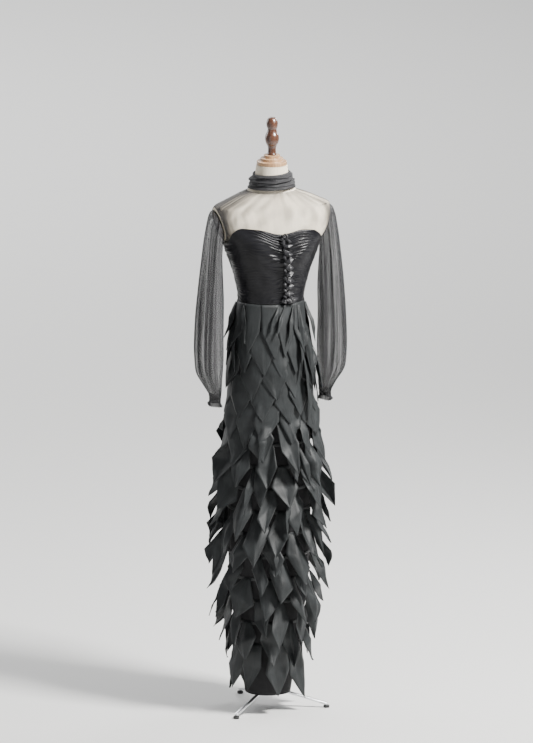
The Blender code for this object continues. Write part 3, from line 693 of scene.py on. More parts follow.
def join(tree: NodeTree, value: object, place: bpy.types.NodeSocket) -> None:
    """Feed a wire, a socket or a plain value to an input.

    Args:
        tree: the node tree.
        value: what feeds it.
        place: the input.
    """
    if isinstance(value, Wire):
        value = value.socket
    if isinstance(value, bpy.types.NodeSocket):
        tree.links.new(value, place)
    else:
        place.default_value = value


def flow(tree: NodeTree, kind: str, settings: Optional[dict[str, object]] = None,
         result: str = "", **inputs: object) -> Wire:
    """Add a node and take one of its results.

    Args:
        tree: the node tree.
        kind: the node's type.
        settings: its properties.
        result: name of the result, or nothing for the first one.
        inputs: values by input name, with underscores for spaces.

    Returns:
        The result.
    """
    node = tree.nodes.new(kind)
    for key, value in (settings or {}).items():
        setattr(node, key, value)
    for key, value in inputs.items():
        wanted = key.replace("_", " ")
        join(tree, value, next(s for s in node.inputs if s.name == wanted and s.enabled))
    return Wire(tree, next(s for s in node.outputs if s.enabled and result in ("", s.name)))


class ShapeTree:
    """A Geometry Nodes tree with named inputs, built node by node."""

    def __init__(self, name: str, numbers: dict[str, float]) -> None:
        """Start the tree.

        Args:
            name: the tree's name.
            numbers: named number inputs and their values.
        """
        self.tree = bpy.data.node_groups.new(name, "GeometryNodeTree")
        self.numbers = numbers
        face = self.tree.interface
        face.new_socket("Geometry", in_out="INPUT", socket_type="NodeSocketGeometry")
        for label, value in numbers.items():
            kind = "NodeSocketInt" if isinstance(value, int) else "NodeSocketFloat"
            face.new_socket(label, in_out="INPUT", socket_type=kind).default_value = value
        face.new_socket("Finish", in_out="INPUT", socket_type="NodeSocketMaterial")
        face.new_socket("Geometry", in_out="OUTPUT", socket_type="NodeSocketGeometry")
        self.entry = self.tree.nodes.new("NodeGroupInput")
        self.exit = self.tree.nodes.new("NodeGroupOutput")

    def node(self, kind: str, settings: Optional[dict[str, object]] = None,
             **inputs: object) -> Wire:
        """The first result of a new node."""
        return flow(self.tree, kind, settings, **inputs)

    def given(self, label: str) -> Wire:
        """One of the tree's named inputs."""
        return Wire(self.tree, self.entry.outputs[label])

    def stored(self, label: str, kind: str = "FLOAT") -> Wire:
        """A named attribute of the geometry."""
        return self.node("GeometryNodeInputNamedAttribute", {"data_type": kind}, Name=label)

    def store(self, geometry: Wire, label: str, value: Wire, kind: str = "FLOAT") -> Wire:
        """The geometry with a value kept on its points as a named attribute."""
        return self.node("GeometryNodeStoreNamedAttribute", {"data_type": kind, "domain": "POINT"},
                         Geometry=geometry, Name=label, Value=value)

    def finish(self, geometry: Wire) -> None:
        """Realise instances, set the finish and end the tree.

        Args:
            geometry: what the tree has made.
        """
        real = self.node("GeometryNodeRealizeInstances", Geometry=geometry)
        dressed = self.node("GeometryNodeSetMaterial", Geometry=real,
                            Material=self.given("Finish"))
        join(self.tree, dressed, self.exit.inputs["Geometry"])

    def apply(self, piece: Piece, finish: Material,
              **values: float) -> Piece:
        """Run the tree on a piece and keep the result as its mesh.

        Args:
            piece: the object whose mesh feeds the tree.
            finish: the finish for the tree's Finish input.
            values: numbers for named inputs.

        Returns:
            The same object.
        """
        step = piece.modifiers.new(self.tree.name, "NODES")
        step.node_group = self.tree
        wanted = {**self.numbers, **values, "Finish": finish}
        for item in self.tree.interface.items_tree:
            if item.in_out == "INPUT" and item.name in wanted:
                step[item.identifier] = wanted[item.name]
        return frozen(piece)


LEAF_PLACES = ("top", "middle", "tip")
LEAF_SPANS = ("top_half", "middle_half", "outward")
LEAF_NUMBERS = ("fold", "roll", "twist", "curl", "sway", "phase", "skew", "wrap", "facet",
                "half_width", "drop")


LEAF_CUT = (0.045, 0.13)
CRUMPLE_SCALE = 26.0
FACET_SCALE = 24.0
MERGE_DISTANCE = 0.00002


def cloth_leaf_tree() -> ShapeTree:
    """Tree that hangs a curved diamond of cloth at each point, from the corners stored on it."""
    made = ShapeTree("cloth leaves", {"Across": 11, "Along": 21, "Roll": 0.010, "Crumple": 0.0030,
                                      "Fullness": 0.95})
    roots = made.node("GeometryNodeSeparateGeometry", {"domain": "POINT"},
                      Geometry=made.given("Geometry"), Selection=made.stored("leaf"))
    grid = made.node("GeometryNodeMeshGrid", Size_X=2.0, Size_Y=1.0,
                     Vertices_X=made.given("Across"), Vertices_Y=made.given("Along"))
    across = made.node("ShaderNodeSeparateXYZ", Vector=made.node("GeometryNodeInputPosition"))
    along = across.beside("Y").maths("SUBTRACT", 0.5).maths("ABSOLUTE")
    keep = made.store(made.store(grid, "across", across), "along", along)
    sown = made.node("GeometryNodeInstanceOnPoints", Points=roots, Instance=keep)
    real = made.node("GeometryNodeRealizeInstances", Geometry=sown)

    across, along = made.stored("across"), made.stored("along")
    top, middle, tip, top_half, middle_half, outward = (
        made.stored(label, "FLOAT_VECTOR") for label in LEAF_PLACES + LEAF_SPANS)
    fold, roll, twist, curl, sway, phase, skew, wrap, facet, half_width, drop = (
        made.stored(label) for label in LEAF_NUMBERS)
    strength = made.given("Roll")
    upper = (along * 2.0).clamped()
    lower = (along * 2.0 - 1.0).clamped()
    belly = upper * lower.flipped()
    taper = lower.flipped() ** made.given("Fullness")

    # The leaf's own surface, from its corners
    centre = top.plus(middle.minus(top).scaled(upper)).plus(tip.minus(middle).scaled(lower))
    half = top_half.scaled(upper.flipped()).plus(middle_half.scaled(upper * taper))
    slip = tip.minus(top).scaled(across * belly * skew)

    # How far it stands out: folds, curls and crumples
    folded = (across.maths("ABSOLUTE").flipped() ** 1.25) * fold * belly ** 0.8
    rolled = across * across * roll * strength * belly ** 0.6
    twisted = across * across * across * twist * strength * belly
    curled = lower * lower * curl * strength
    swayed = (along * TAU + phase).maths("SINE") * sway * belly
    cut = made.node("ShaderNodeCombineXYZ", X=across * LEAF_CUT[0], Y=along * LEAF_CUT[1])
    noise = made.node("ShaderNodeTexNoise", {"noise_dimensions": "4D"},
                      Scale=CRUMPLE_SCALE, Detail=2.5, Roughness=0.5, W=phase, Vector=cut)
    cells = made.node("ShaderNodeTexVoronoi", {"voronoi_dimensions": "4D"},
                      Scale=FACET_SCALE, W=phase, Vector=cut)
    crumple = (noise - 0.5) * made.given("Crumple") * 2.0 + (cells - 0.4) * facet
    crumple = crumple * (along * 6.0).clamped()
    hugged = (across * half.maths("LENGTH", vector=True)) ** 2.0 * wrap
    raised = folded + rolled + twisted + curled + swayed + crumple - hugged

    place = centre.plus(half.scaled(across)).plus(slip).plus(outward.scaled(raised))
    moved = made.node("GeometryNodeSetPosition", Geometry=real, Position=place)
    flat = made.node("ShaderNodeCombineXYZ", X=across * half_width, Y=along * drop, Z=phase)
    both = made.node("GeometryNodeJoinGeometry",
                     Geometry=made.store(moved, "flat_place", flat, "FLOAT_VECTOR"))
    join(made.tree, roots.beside("Inverted"), both.socket.node.inputs["Geometry"])
    made.finish(made.node("GeometryNodeMergeByDistance", Geometry=both,
                          Distance=MERGE_DISTANCE))
    return made


def stitch_tree() -> ShapeTree:
    """Tree that lays short stitches of thread along a line."""
    made = ShapeTree("stitches", {"Spacing": 0.004, "Length": 0.0026, "Thread": 0.00035})
    line = made.node("GeometryNodeMeshToCurve", Mesh=made.given("Geometry"))
    even = made.node("GeometryNodeResampleCurve", {"mode": "LENGTH"}, Curve=line,
                     Length=made.given("Spacing"))
    thread = made.node("GeometryNodeMeshUVSphere", Segments=6, Rings=4, Radius=made.given("Thread"))
    size = made.node("ShaderNodeCombineXYZ", X=1.0, Y=1.0,
                     Z=made.given("Length").maths("DIVIDE", made.given("Thread")) * 0.5)
    aim = made.node("FunctionNodeAlignRotationToVector", {"axis": "Z"},
                    Vector=made.node("GeometryNodeInputTangent"))
    made.finish(made.node("GeometryNodeInstanceOnPoints", Points=even, Instance=thread,
                          Rotation=aim, Scale=size))
    return made


# Finishes

class ShaderBench:
    """A material under work, with short ways to add its nodes."""

    def __init__(self, name: str) -> None:
        """Start a Principled material.

        Args:
            name: the material's name.
        """
        self.material = bpy.data.materials.new(name)
        self.material.use_nodes = True
        self.tree = self.material.node_tree
        self.shader = self.tree.nodes["Principled BSDF"]

    def feed(self, **values: object) -> None:
        """Feed the shader's sockets, named with underscores for spaces."""
        for label, value in values.items():
            join(self.tree, (*value, 1.0) if isinstance(value, tuple) else value,
                 self.shader.inputs[label.replace("_", " ")])

    def places(self, scale: tuple[float, float, float] = (1, 1, 1), flat: bool = False) -> Wire:
        """Coordinates for a pattern.

        Args:
            scale: how the pattern is scaled along each axis.
            flat: whether it follows the flat cloth, and not the object.

        Returns:
            The scaled coordinates.
        """
        spot = (flow(self.tree, "ShaderNodeUVMap", {"uv_map": CLOTH_MAP}) if flat
                else flow(self.tree, "ShaderNodeTexCoord", result="Object"))
        return flow(self.tree, "ShaderNodeMapping", Vector=spot, Scale=scale)

    def noise(self, places: Wire, scale: float, detail: float = 3.0,
              roughness: float = 0.5) -> Wire:
        """A noise pattern's value."""
        return flow(self.tree, "ShaderNodeTexNoise", result="Fac", Vector=places, Scale=scale,
                    Detail=detail, Roughness=roughness)

    def bands(self, places: Wire, direction: str, period: float, distortion: float = 0.0) -> Wire:
        """Even threads or lines across one axis.

        Args:
            places: coordinates in metres.
            direction: X, Y or Z.
            period: distance from one line to the next, in metres.
            distortion: how far the lines wander.

        Returns:
            A value from 0 to 1.
        """
        return flow(self.tree, "ShaderNodeTexWave", {"bands_direction": direction}, "Fac",
                    Vector=places, Scale=math.pi / (10 * period), Distortion=distortion,
                    Detail=1.0)

    def ranged(self, value: Wire, low: float, high: float, start: float = 0.0,
               end: float = 1.0) -> Wire:
        """A value remapped from one range to another, held inside it."""
        return flow(self.tree, "ShaderNodeMapRange", Value=value, From_Min=start, From_Max=end,
                    To_Min=low, To_Max=high)

    def blend(self, share: Wire, first: Colour, second: Colour) -> Wire:
        """A colour between two colours."""
        return flow(self.tree, "ShaderNodeMix", {"data_type": "RGBA"}, Factor=share,
                    A=(*first, 1.0), B=(*second, 1.0))

    def bump(self, *layers: tuple[Wire, float]) -> None:
        """Stack height patterns into the shader's normal.

        Args:
            layers: pairs of a pattern and its height in metres.
        """
        below: dict[str, Wire] = {}
        for pattern, height in layers:
            below = {"Normal": flow(self.tree, "ShaderNodeBump", Height=pattern, Distance=height,
                                    **below)}
        self.feed(**below)


@dataclass(frozen=True)
class Finish:
    """What all finishes share: a name, and how the material is made."""

    name: str

    def build(self) -> Material:
        """Make the material."""
        bench = ShaderBench(self.name)
        self.dress(bench)
        return bench.material

    def dress(self, bench: ShaderBench) -> None:
        """Feed the shader with this finish's patterns."""
        raise NotImplementedError


@dataclass(frozen=True)
class WovenCloth(Finish):
    """A woven cloth: its threads, its slubs and its uneven dye."""

    shade: Colour
    worn_shade: Colour
    roughness: float = 0.7
    thread: float = 0.0007
    thread_height: float = 0.00006
    slub_size: float = 0.004
    slub_height: float = 0.0002
    dye_size: float = 0.05
    shine: float = 0.5
    sheen: float = 0.15
    sheen_shade: Colour = (0.6, 0.6, 0.62)
    flat: bool = True

    def dress(self, bench: ShaderBench) -> None:
        """Feed the shader.

        Args:
            bench: the material under work.
        """
        cloth = bench.places(flat=self.flat)
        dye = bench.noise(cloth, 1 / self.dye_size, 4.0, 0.6)
        slub = bench.noise(bench.places((1, 0.12, 1), self.flat), 1 / self.slub_size, 2.0)
        weave = (bench.bands(cloth, "X", self.thread)
                 * bench.bands(cloth, "Y" if self.flat else "Z", self.thread))
        share = bench.ranged(dye * 0.65 + slub * 0.25 + weave * 0.10, 0.0, 1.0, 0.30, 0.66)
        bench.feed(Base_Color=bench.blend(share, self.shade, self.worn_shade),
                   Roughness=bench.ranged(slub, self.roughness - 0.07, self.roughness + 0.07),
                   Specular_IOR_Level=self.shine, Sheen_Weight=self.sheen, Sheen_Roughness=0.45,
                   Sheen_Tint=self.sheen_shade)
        bench.bump((slub, self.slub_height), (weave, self.thread_height))


@dataclass(frozen=True)
class RuchedSatin(Finish):
    """Soft satin: long floats of thread, tiny puckers and a bright line of shine."""

    shade: Colour
    worn_shade: Colour
    roughness: float = 0.29
    shine: float = 0.16
    pucker: float = 0.007
    pucker_height: float = 0.0004
    float_width: float = 0.0006
    float_height: float = 0.00003

    def dress(self, bench: ShaderBench) -> None:
        """Feed the shader.

        Args:
            bench: the material under work.
        """
        cloth = bench.places(flat=True)
        puckers = bench.noise(bench.places((0.35, 1, 1), True), 1 / self.pucker, 2.5)
        share = bench.ranged(bench.noise(cloth, 22.0), 0.0, 1.0, 0.35, 0.68)
        bench.feed(Base_Color=bench.blend(share, self.shade, self.worn_shade),
                   Roughness=bench.ranged(puckers, self.roughness - 0.05, self.roughness + 0.10),
                   Specular_IOR_Level=self.shine, Sheen_Weight=0.02, Sheen_Roughness=0.35)
        bench.bump((puckers, self.pucker_height),
                   (bench.bands(cloth, "Y", self.float_width), self.float_height))


@dataclass(frozen=True)
class SheerNet(Finish):
    """Fine net that shows what is behind it, denser along its folds and where its density attribute
    says; its fold streaks carry a painted highlight.
    """

    shade: Colour
    lit_shade: Colour
    openness: float
    densest: float
    pull: tuple[float, float, float] = (1.0, 0.05, 1.0)
    mesh_size: float = 0.0016
    streak: float = 0.016
    streak_height: float = 0.0006
    fold_share: float = 0.55

    def dress(self, bench: ShaderBench) -> None:
        """Feed the shader.

        Args:
            bench: the material under work.
        """
        streaks = bench.noise(bench.places(self.pull, True), 1 / self.streak, 2.0)
        broad = bench.noise(bench.places(self.pull, True), 0.3 / self.streak, 2.0)
        cells = flow(bench.tree, "ShaderNodeTexVoronoi", {"feature": "DISTANCE_TO_EDGE"},
                     Scale=1 / self.mesh_size, Vector=bench.places(flat=True))
        holes = bench.ranged(cells, 1.0, 0.0, 0.04, 0.30)
        # Density from the mesh: gathered net, seams and folds, and on the yoke partly painted shade
        dense = flow(bench.tree, "ShaderNodeAttribute", {"attribute_name": GATHER_MAP}, "Fac")
        folds = bench.ranged(streaks * 0.5 + broad * 0.5, 0.0, self.fold_share, 0.40, 0.66)
        body = (folds + dense).clamped() * (self.densest - self.openness) + self.openness
        # Colour: painted highlight, lighter towards lit_shade along the fold streaks
        bench.feed(Alpha=(body * (holes * 0.04 + 0.98)).clamped(),
                   Base_Color=bench.blend(folds, self.shade, self.lit_shade),
                   Roughness=bench.ranged(holes, 0.85, 0.60), Specular_IOR_Level=0.3,
                   Sheen_Weight=0.05, Sheen_Roughness=0.5)
        bench.bump((streaks, self.streak_height))


@dataclass(frozen=True)
class TurnedWood(Finish):
    """Lacquered turned wood with grain along its axis and faint lathe rings."""

    shade: Colour
    dark_shade: Colour
    roughness: float = 0.34
    coat: float = 0.45
    ring_width: float = 0.0016

    def dress(self, bench: ShaderBench) -> None:
        """Feed the shader.

        Args:
            bench: the material under work.
        """
        grain = bench.noise(bench.places((1, 1, 0.10)), 190.0, 5.0, 0.62)
        broad = bench.noise(bench.places((1, 1, 0.25)), 45.0)
        rings = bench.bands(bench.places(), "Z", self.ring_width, 0.4)
        share = bench.ranged(grain * 0.6 + broad * 0.4, 0.0, 1.0, 0.36, 0.62)
        bench.feed(Base_Color=bench.blend(share, self.dark_shade, self.shade),
                   Roughness=bench.ranged(grain, self.roughness - 0.06, self.roughness + 0.14),
                   Coat_Weight=self.coat, Coat_Roughness=0.16)
        bench.bump((grain, 0.00012), (rings, 0.00004))


@dataclass(frozen=True)
class BrushedSteel(Finish):
    """Bright steel with fine scratches and a few dull spots."""

    shade: Colour
    roughness: float = 0.24
    dulled: float = 0.72

    def dress(self, bench: ShaderBench) -> None:
        """Feed the shader.

        Args:
            bench: the material under work.
        """
        scratches = bench.noise(bench.places((1, 1, 0.04)), 900.0, 2.0)
        dull = bench.noise(bench.places(), 38.0, 4.0, 0.65)
        share = bench.ranged(dull, 0.0, 1.0, 0.45, 0.75)
        worn = tuple(level * self.dulled for level in self.shade)
        bench.feed(Base_Color=bench.blend(share, self.shade, worn), Metallic=1.0,
                   Roughness=bench.ranged(scratches * 0.5 + dull * 0.5,
                                          self.roughness - 0.08, self.roughness + 0.20))
        bench.bump((scratches, 0.00002))


@dataclass(frozen=True)
class MouldedRubber(Finish):
    """Dull rubber with a fine grain and scuffed patches."""

    shade: Colour
    scuffed: Colour

    def dress(self, bench: ShaderBench) -> None:
        """Feed the shader.

        Args:
            bench: the material under work.
        """
        grain = bench.noise(bench.places(), 1400.0, 2.0)
        share = bench.ranged(bench.noise(bench.places(), 160.0, 4.0, 0.7), 0.0, 1.0, 0.5, 0.75)
        bench.feed(Base_Color=bench.blend(share, self.shade, self.scuffed),
                   Roughness=bench.ranged(grain, 0.62, 0.82))
        bench.bump((grain, 0.00004))


@dataclass(frozen=True)
class PlainPaper(Finish):
    """The studio's pale floor."""

    shade: Colour = (0.74, 0.74, 0.73)

    def dress(self, bench: ShaderBench) -> None:
        """Feed the shader."""
        bench.feed(Base_Color=self.shade, Roughness=0.9)


class Wardrobe:
    """All finishes of the part, made once."""

    def __init__(self) -> None:
        """Build every material."""
        self.form_cotton = WovenCloth(
            "form_cotton", (0.66, 0.58, 0.45), (0.80, 0.73, 0.60), roughness=0.82,
            thread=0.0009, thread_height=0.00009, slub_size=0.006, slub_height=0.00012,
            dye_size=0.09, sheen=0.2, sheen_shade=(0.9, 0.86, 0.78), flat=False).build()
        self.turned_wood = TurnedWood("turned_wood", (0.105, 0.042, 0.022),
                                      (0.030, 0.011, 0.006), roughness=0.28, coat=0.7).build()
        self.pale_wood = TurnedWood("cap_wood", (0.50, 0.31, 0.17), (0.27, 0.145, 0.070),
                                    roughness=0.40, coat=0.3).build()
        self.bright_steel = BrushedSteel("bright_steel", (0.72, 0.73, 0.75)).build()
        self.foot_rubber = MouldedRubber("foot_rubber", (0.022, 0.022, 0.023),
                                         (0.07, 0.07, 0.068)).build()
        self.satin = RuchedSatin("black_satin", (0.006, 0.006, 0.0075),
                                 (0.014, 0.014, 0.016)).build()
        # The ruffles' satin is black satin painted lighter, painted light standing in for their lit
        # upper faces, with more shine
        self.ruffle_satin_painted_lit = RuchedSatin("ruffle_satin_painted_lit", (0.010, 0.010, 0.012),
                                        (0.028, 0.028, 0.031), roughness=0.36, shine=0.5).build()
        # Each net's second colour is its painted highlight along the fold streaks
        self.yoke_net = SheerNet("yoke_net", (0.045, 0.042, 0.042), (0.085, 0.080, 0.078),
                                 0.05, 0.62, fold_share=0.10).build()
        self.sleeve_net = SheerNet("sleeve_net", (0.022, 0.022, 0.024), (0.060, 0.060, 0.064),
                                   0.22, 0.80).build()
        self.cuff_net = SheerNet("cuff_net", (0.022, 0.022, 0.024), (0.070, 0.070, 0.074),
                                 0.60, 0.92).build()
        self.collar_net = SheerNet("collar_net", (0.014, 0.014, 0.016), (0.045, 0.045, 0.048),
                                   0.86, 0.98, pull=(0.06, 1.0, 1.0), streak=0.007).build()
        self.taffeta = WovenCloth(
            "charcoal_taffeta", (0.0108, 0.0121, 0.0126), (0.0290, 0.0323, 0.0335), roughness=0.50,
            thread=0.0008, thread_height=0.00008, slub_size=0.007, slub_height=0.0004,
            dye_size=0.06, shine=0.28, sheen=0.05).build()
        self.underskirt = WovenCloth(
            "black_underskirt", (0.008, 0.008, 0.009), (0.018, 0.018, 0.019), roughness=0.78,
            slub_size=0.005, slub_height=0.0003, shine=0.2, sheen=0.02).build()
        self.thread = WovenCloth(
            "black_thread", (0.010, 0.010, 0.011), (0.03, 0.03, 0.032), roughness=0.5,
            thread=0.0003, slub_size=0.002, flat=False).build()


# The dress form and its stand

@dataclass
class DressForm:
    """Limbless form: cloth-covered torso, armhole plates, wooden cap and finial."""

    wardrobe: Wardrobe
    arc_columns: int = 65
    side_columns: int = 12
    row_count: int = 172
    side_angle: float = math.radians(89.0)
    sharp_angle: float = math.radians(38)
    seam_depth: float = 0.0005
    seam_turn: float = 0.016
    neck_seam: float = 1.6660
    neck_seam_width: float = 0.0016
    plate_half_height: float = 0.0430
    plate_half_depth: float = 0.0360
    plate_thickness: float = 0.0030
    plate_rounding: float = 0.0010

    def torso(self) -> None:
        """Smooth closed torso with flat armholes and sunk seams."""
        rows = []
        for height in np.linspace(TORSO_SECTIONS[0][0], TORSO_SECTIONS[-1][0], self.row_count):
            reach = float(armhole_angle(np.array(height), self.side_angle))
            arc = np.linspace(-reach, reach, self.arc_columns)
            side = np.linspace(reach, math.pi - reach, self.side_columns)[1:-1]
            angles = np.concatenate([arc, side, arc + math.pi, side + math.pi])
            level = np.full_like(angles, height)
            sunk = sum(bump_over(wrapped(angles - seam), 0.0, self.seam_turn)
                       for seam in (0.0, math.pi))
            sunk = sunk + bump_over(level, self.neck_seam, self.neck_seam_width)
            ring = TORSO.point(angles, level, -self.seam_depth * sunk - 1e-9)
            if ARMHOLE_FOOT < height < ARMHOLE_TOP:
                limit = float(armhole_x(height))
                ring[:, 0] = np.clip(ring[:, 0], -limit, limit)
            rows.append(ring)
        mesh = capped(grid_mesh("form_torso", np.array(rows), True))
        piece = make_object("form_torso", mesh, self.wardrobe.form_cotton)
        mesh.set_sharp_from_angle(angle=self.sharp_angle)
        seat(piece, "form_cotton", "torso")

    def plates(self) -> None:
        """Oval wooden plates on the flat armholes."""
        middle = (ARMHOLE_FOOT + ARMHOLE_TOP) / 2
        lean = Vector((ARMHOLE_TOP_X - ARMHOLE_FOOT_X, 0, ARMHOLE_TOP - ARMHOLE_FOOT)).normalized()
        outward = Vector((lean.z, 0, -lean.x))
        centre = Vector((float(armhole_x(middle)), 0, middle))
        centre += outward * (SEAM_GAP + self.plate_thickness / 2)
        axes = Matrix((lean, Vector((0, 1, 0)), outward)).transposed().to_4x4()
        for side, name in ((1, "left"), (-1, "right")):
            board = f"armhole_board_{name}"
            shape = bmesh.new()
            bmesh.ops.create_cone(shape, cap_ends=True, segments=72, radius1=1.0, radius2=1.0,
                                  depth=self.plate_thickness)
            bmesh.ops.scale(shape, vec=(self.plate_half_height, self.plate_half_depth, 1),
                            verts=shape.verts)
            bmesh.ops.transform(shape, matrix=Matrix.Translation(centre) @ axes, verts=shape.verts)
            bmesh.ops.scale(shape, vec=(side, 1, 1), verts=shape.verts)
            bmesh.ops.translate(shape, vec=stand_axis(), verts=shape.verts)
            bmesh.ops.recalc_face_normals(shape, faces=shape.faces)
            piece = make_object(board, kept(shape, bpy.data.meshes.new(board)),
                                self.wardrobe.turned_wood)
            seat(soften(piece, self.plate_rounding), "turned_wood", f"armhole_plate_{name}")

    def build(self) -> None:
        """Build the torso, its plates, the wooden cap and the finial."""
        self.torso()
        self.plates()
        for name, node, profile, sides, fineness, finish in (
                ("wooden_cap", "neck_cap", CAP_PROFILE, 96, 4, self.wardrobe.pale_wood),
                ("turned_finial", "finial", FINIAL_PROFILE, 72, 5, self.wardrobe.turned_wood)):
            mesh = revolve_mesh(name, profile, sides, fineness)
            seat(make_object(name, mesh, finish), "turned_wood", node)


@dataclass
class TripodStand:
    """Base board, pole, hub, three flat legs and their feet."""

    wardrobe: Wardrobe
    leg_angles: tuple[float, float, float] = (-20.0, -140.0, 100.0)
    leg_width: float = 0.0120
    leg_thickness: float = 0.0075
    leg_start: tuple[float, float] = (0.0229, 0.0590)
    leg_end: tuple[float, float] = (0.1860, 0.0118)
    leg_rounding: float = 0.0022

    def turned(self, name: str, node: str, slot: str, finish: Material,
               edge: float, waist: float = 1.0) -> None:
        """An upright round piece with softened edges, in its solid's box.

        Args:
            name: the piece's name.
            node: the solid that it replaces.
            slot: the record's material slot.
            finish: its material.
            edge: radius of its edges.
            waist: share of the radius left at mid-height.
        """
        low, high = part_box(node)
        radius = (high.x - low.x) / 2
        spots = [(0.0, high.z), (radius - edge, high.z), (radius - edge * 0.3, high.z - edge * 0.3),
                 (radius, high.z - edge), (radius * waist, (high.z + low.z) / 2),
                 (radius, low.z + edge), (radius - edge * 0.3, low.z + edge * 0.3),
                 (radius - edge, low.z), (0.0, low.z)]
        mesh = revolve_mesh(name, spots, 64, 3)
        centre = (low + high) / 2
        depth = (high.y - low.y) / (high.x - low.x)
        middle = Vector(stand_axis())
        for vertex in mesh.vertices:
            vertex.co.x += centre.x - middle.x
            vertex.co.y = (vertex.co.y - middle.y) * depth + centre.y
        seat(make_object(name, mesh, finish), slot, node)

    def leg(self, number: int) -> None:
        """One flat bar leg with rounded edges.

        Args:
            number: which leg, from 1.
        """
        inner, outer = (Vector((x, 0, z)) for x, z in (self.leg_start, self.leg_end))
        along = outer - inner
        turn = Matrix.Rotation(math.radians(self.leg_angles[number - 1]), 4, "Z")
        aim = Vector((1, 0, 0)).rotation_difference(along).to_matrix().to_4x4()
        place = Matrix.Translation(stand_axis()) @ turn
        place = place @ Matrix.Translation((inner + outer) / 2) @ aim
        shape = bmesh.new()
        bmesh.ops.create_cube(shape, size=1.0)
        bmesh.ops.scale(shape, vec=(along.length, self.leg_width, self.leg_thickness),
                        verts=shape.verts)
        bmesh.ops.transform(shape, matrix=place, verts=shape.verts)
        name = f"tripod_leg_{number}"
        piece = make_object(name, kept(shape, bpy.data.meshes.new(name)),
                            self.wardrobe.bright_steel)
        seat(soften(piece, self.leg_rounding, 4), "bright_steel", f"leg_{number}")

    def build(self) -> None:
        """Build the whole stand."""
        steel, rubber = self.wardrobe.bright_steel, self.wardrobe.foot_rubber
        self.turned("base_board", "base_plate", "turned_wood", self.wardrobe.turned_wood, 0.0030)
        self.turned("stand_pole", "pole", "bright_steel", steel, 0.0012)
        self.turned("tripod_hub", "hub", "bright_steel", steel, 0.0030, 0.96)
        for number in (1, 2, 3):
            self.leg(number)
            self.turned(f"rubber_foot_{number}", f"foot_{number}", "foot_rubber", rubber, 0.0016)


# Cloth relief

@dataclass(frozen=True)
class Crease:
    """One listed fold on a sheet: where it lies, how wide, how deep, and how it leans."""

    angle: float
    width: float
    rise: float
    start: float = 0.0
    end: float = 1.0
    lean: float = 0.0

    def relief(self, angles: Array, share: Array) -> Array:
        """Height of this fold over a grid of angles and shares climbed.

        Args:
            angles: angles round the piece, in radians.
            share: shares from the foot to the head.

        Returns:
            Heights in metres.
        """
        centre = math.radians(self.angle) + math.radians(self.lean) * (share - self.start)
        away = wrapped(angles - centre)
        inside = np.clip((share - self.start) / (self.end - self.start), 0, 1)
        window = np.sin(math.pi * np.clip(inside * 0.96 + 0.02, 0, 1)) ** 0.55
        window = np.where((share < self.start) | (share > self.end), 0.0, window)
        return self.rise * np.exp(-(away / math.radians(self.width)) ** 2) * window


def relief_of(creases: Sequence[Crease], angles: Array, share: Array) -> Array:
    """Sum of the reliefs of several folds."""
    return sum((crease.relief(angles, share) for crease in creases), np.zeros(angles.shape))


def cut_of(rows: Array, around: bool) -> tuple[float, float, float]:
    """Width, length and area of a grid's cloth, laid flat.

    Args:
        rows: the grid's points.
        around: whether it is a tube.

    Returns:
        Width round the widest row, length of the longest column, and area.
    """
    closed = np.concatenate([rows, rows[:, :1]], axis=1) if around else rows
    across = np.linalg.norm(np.diff(closed, axis=1), axis=-1)
    along = np.linalg.norm(np.diff(rows, axis=0), axis=-1)
    corner, right, above = closed[:-1, :-1], closed[:-1, 1:], closed[1:, :-1]
    first = np.cross(right - corner, above - corner)
    second = np.cross(closed[1:, 1:] - right, above - right)
    area = float((np.linalg.norm(first, axis=-1) + np.linalg.norm(second, axis=-1)).sum() / 2)
    width, length = float(across.sum(axis=1).max()), float(along.sum(axis=0).max())
    return width, length, area


@dataclass
class ClothPiece:
    """Shared making of one sheet of cloth."""

    name: str
    rows: Array
    around: bool
    wall: float
    held: Held
    rests_on: tuple[str, ...]
    slot: str
    finish: Material
    nodes: tuple[str, ...]
    density: Optional[Array] = None

    def build(self) -> Piece:
        """Make the sheet, log its cut and seat it."""
        piece = make_object(self.name, grid_mesh(self.name, self.rows, self.around), self.finish)
        if self.density is not None:
            store_on(piece.data, GATHER_MAP, self.density.ravel())
        thicken(piece, self.wall)
        seat(piece, self.slot, *self.nodes)
        width, length, area = cut_of(self.rows, self.around)
        LOG.info("%s is cut %.3f by %.3f m, %.4f m2", self.name, width, length, area)
        return piece


# Bodice

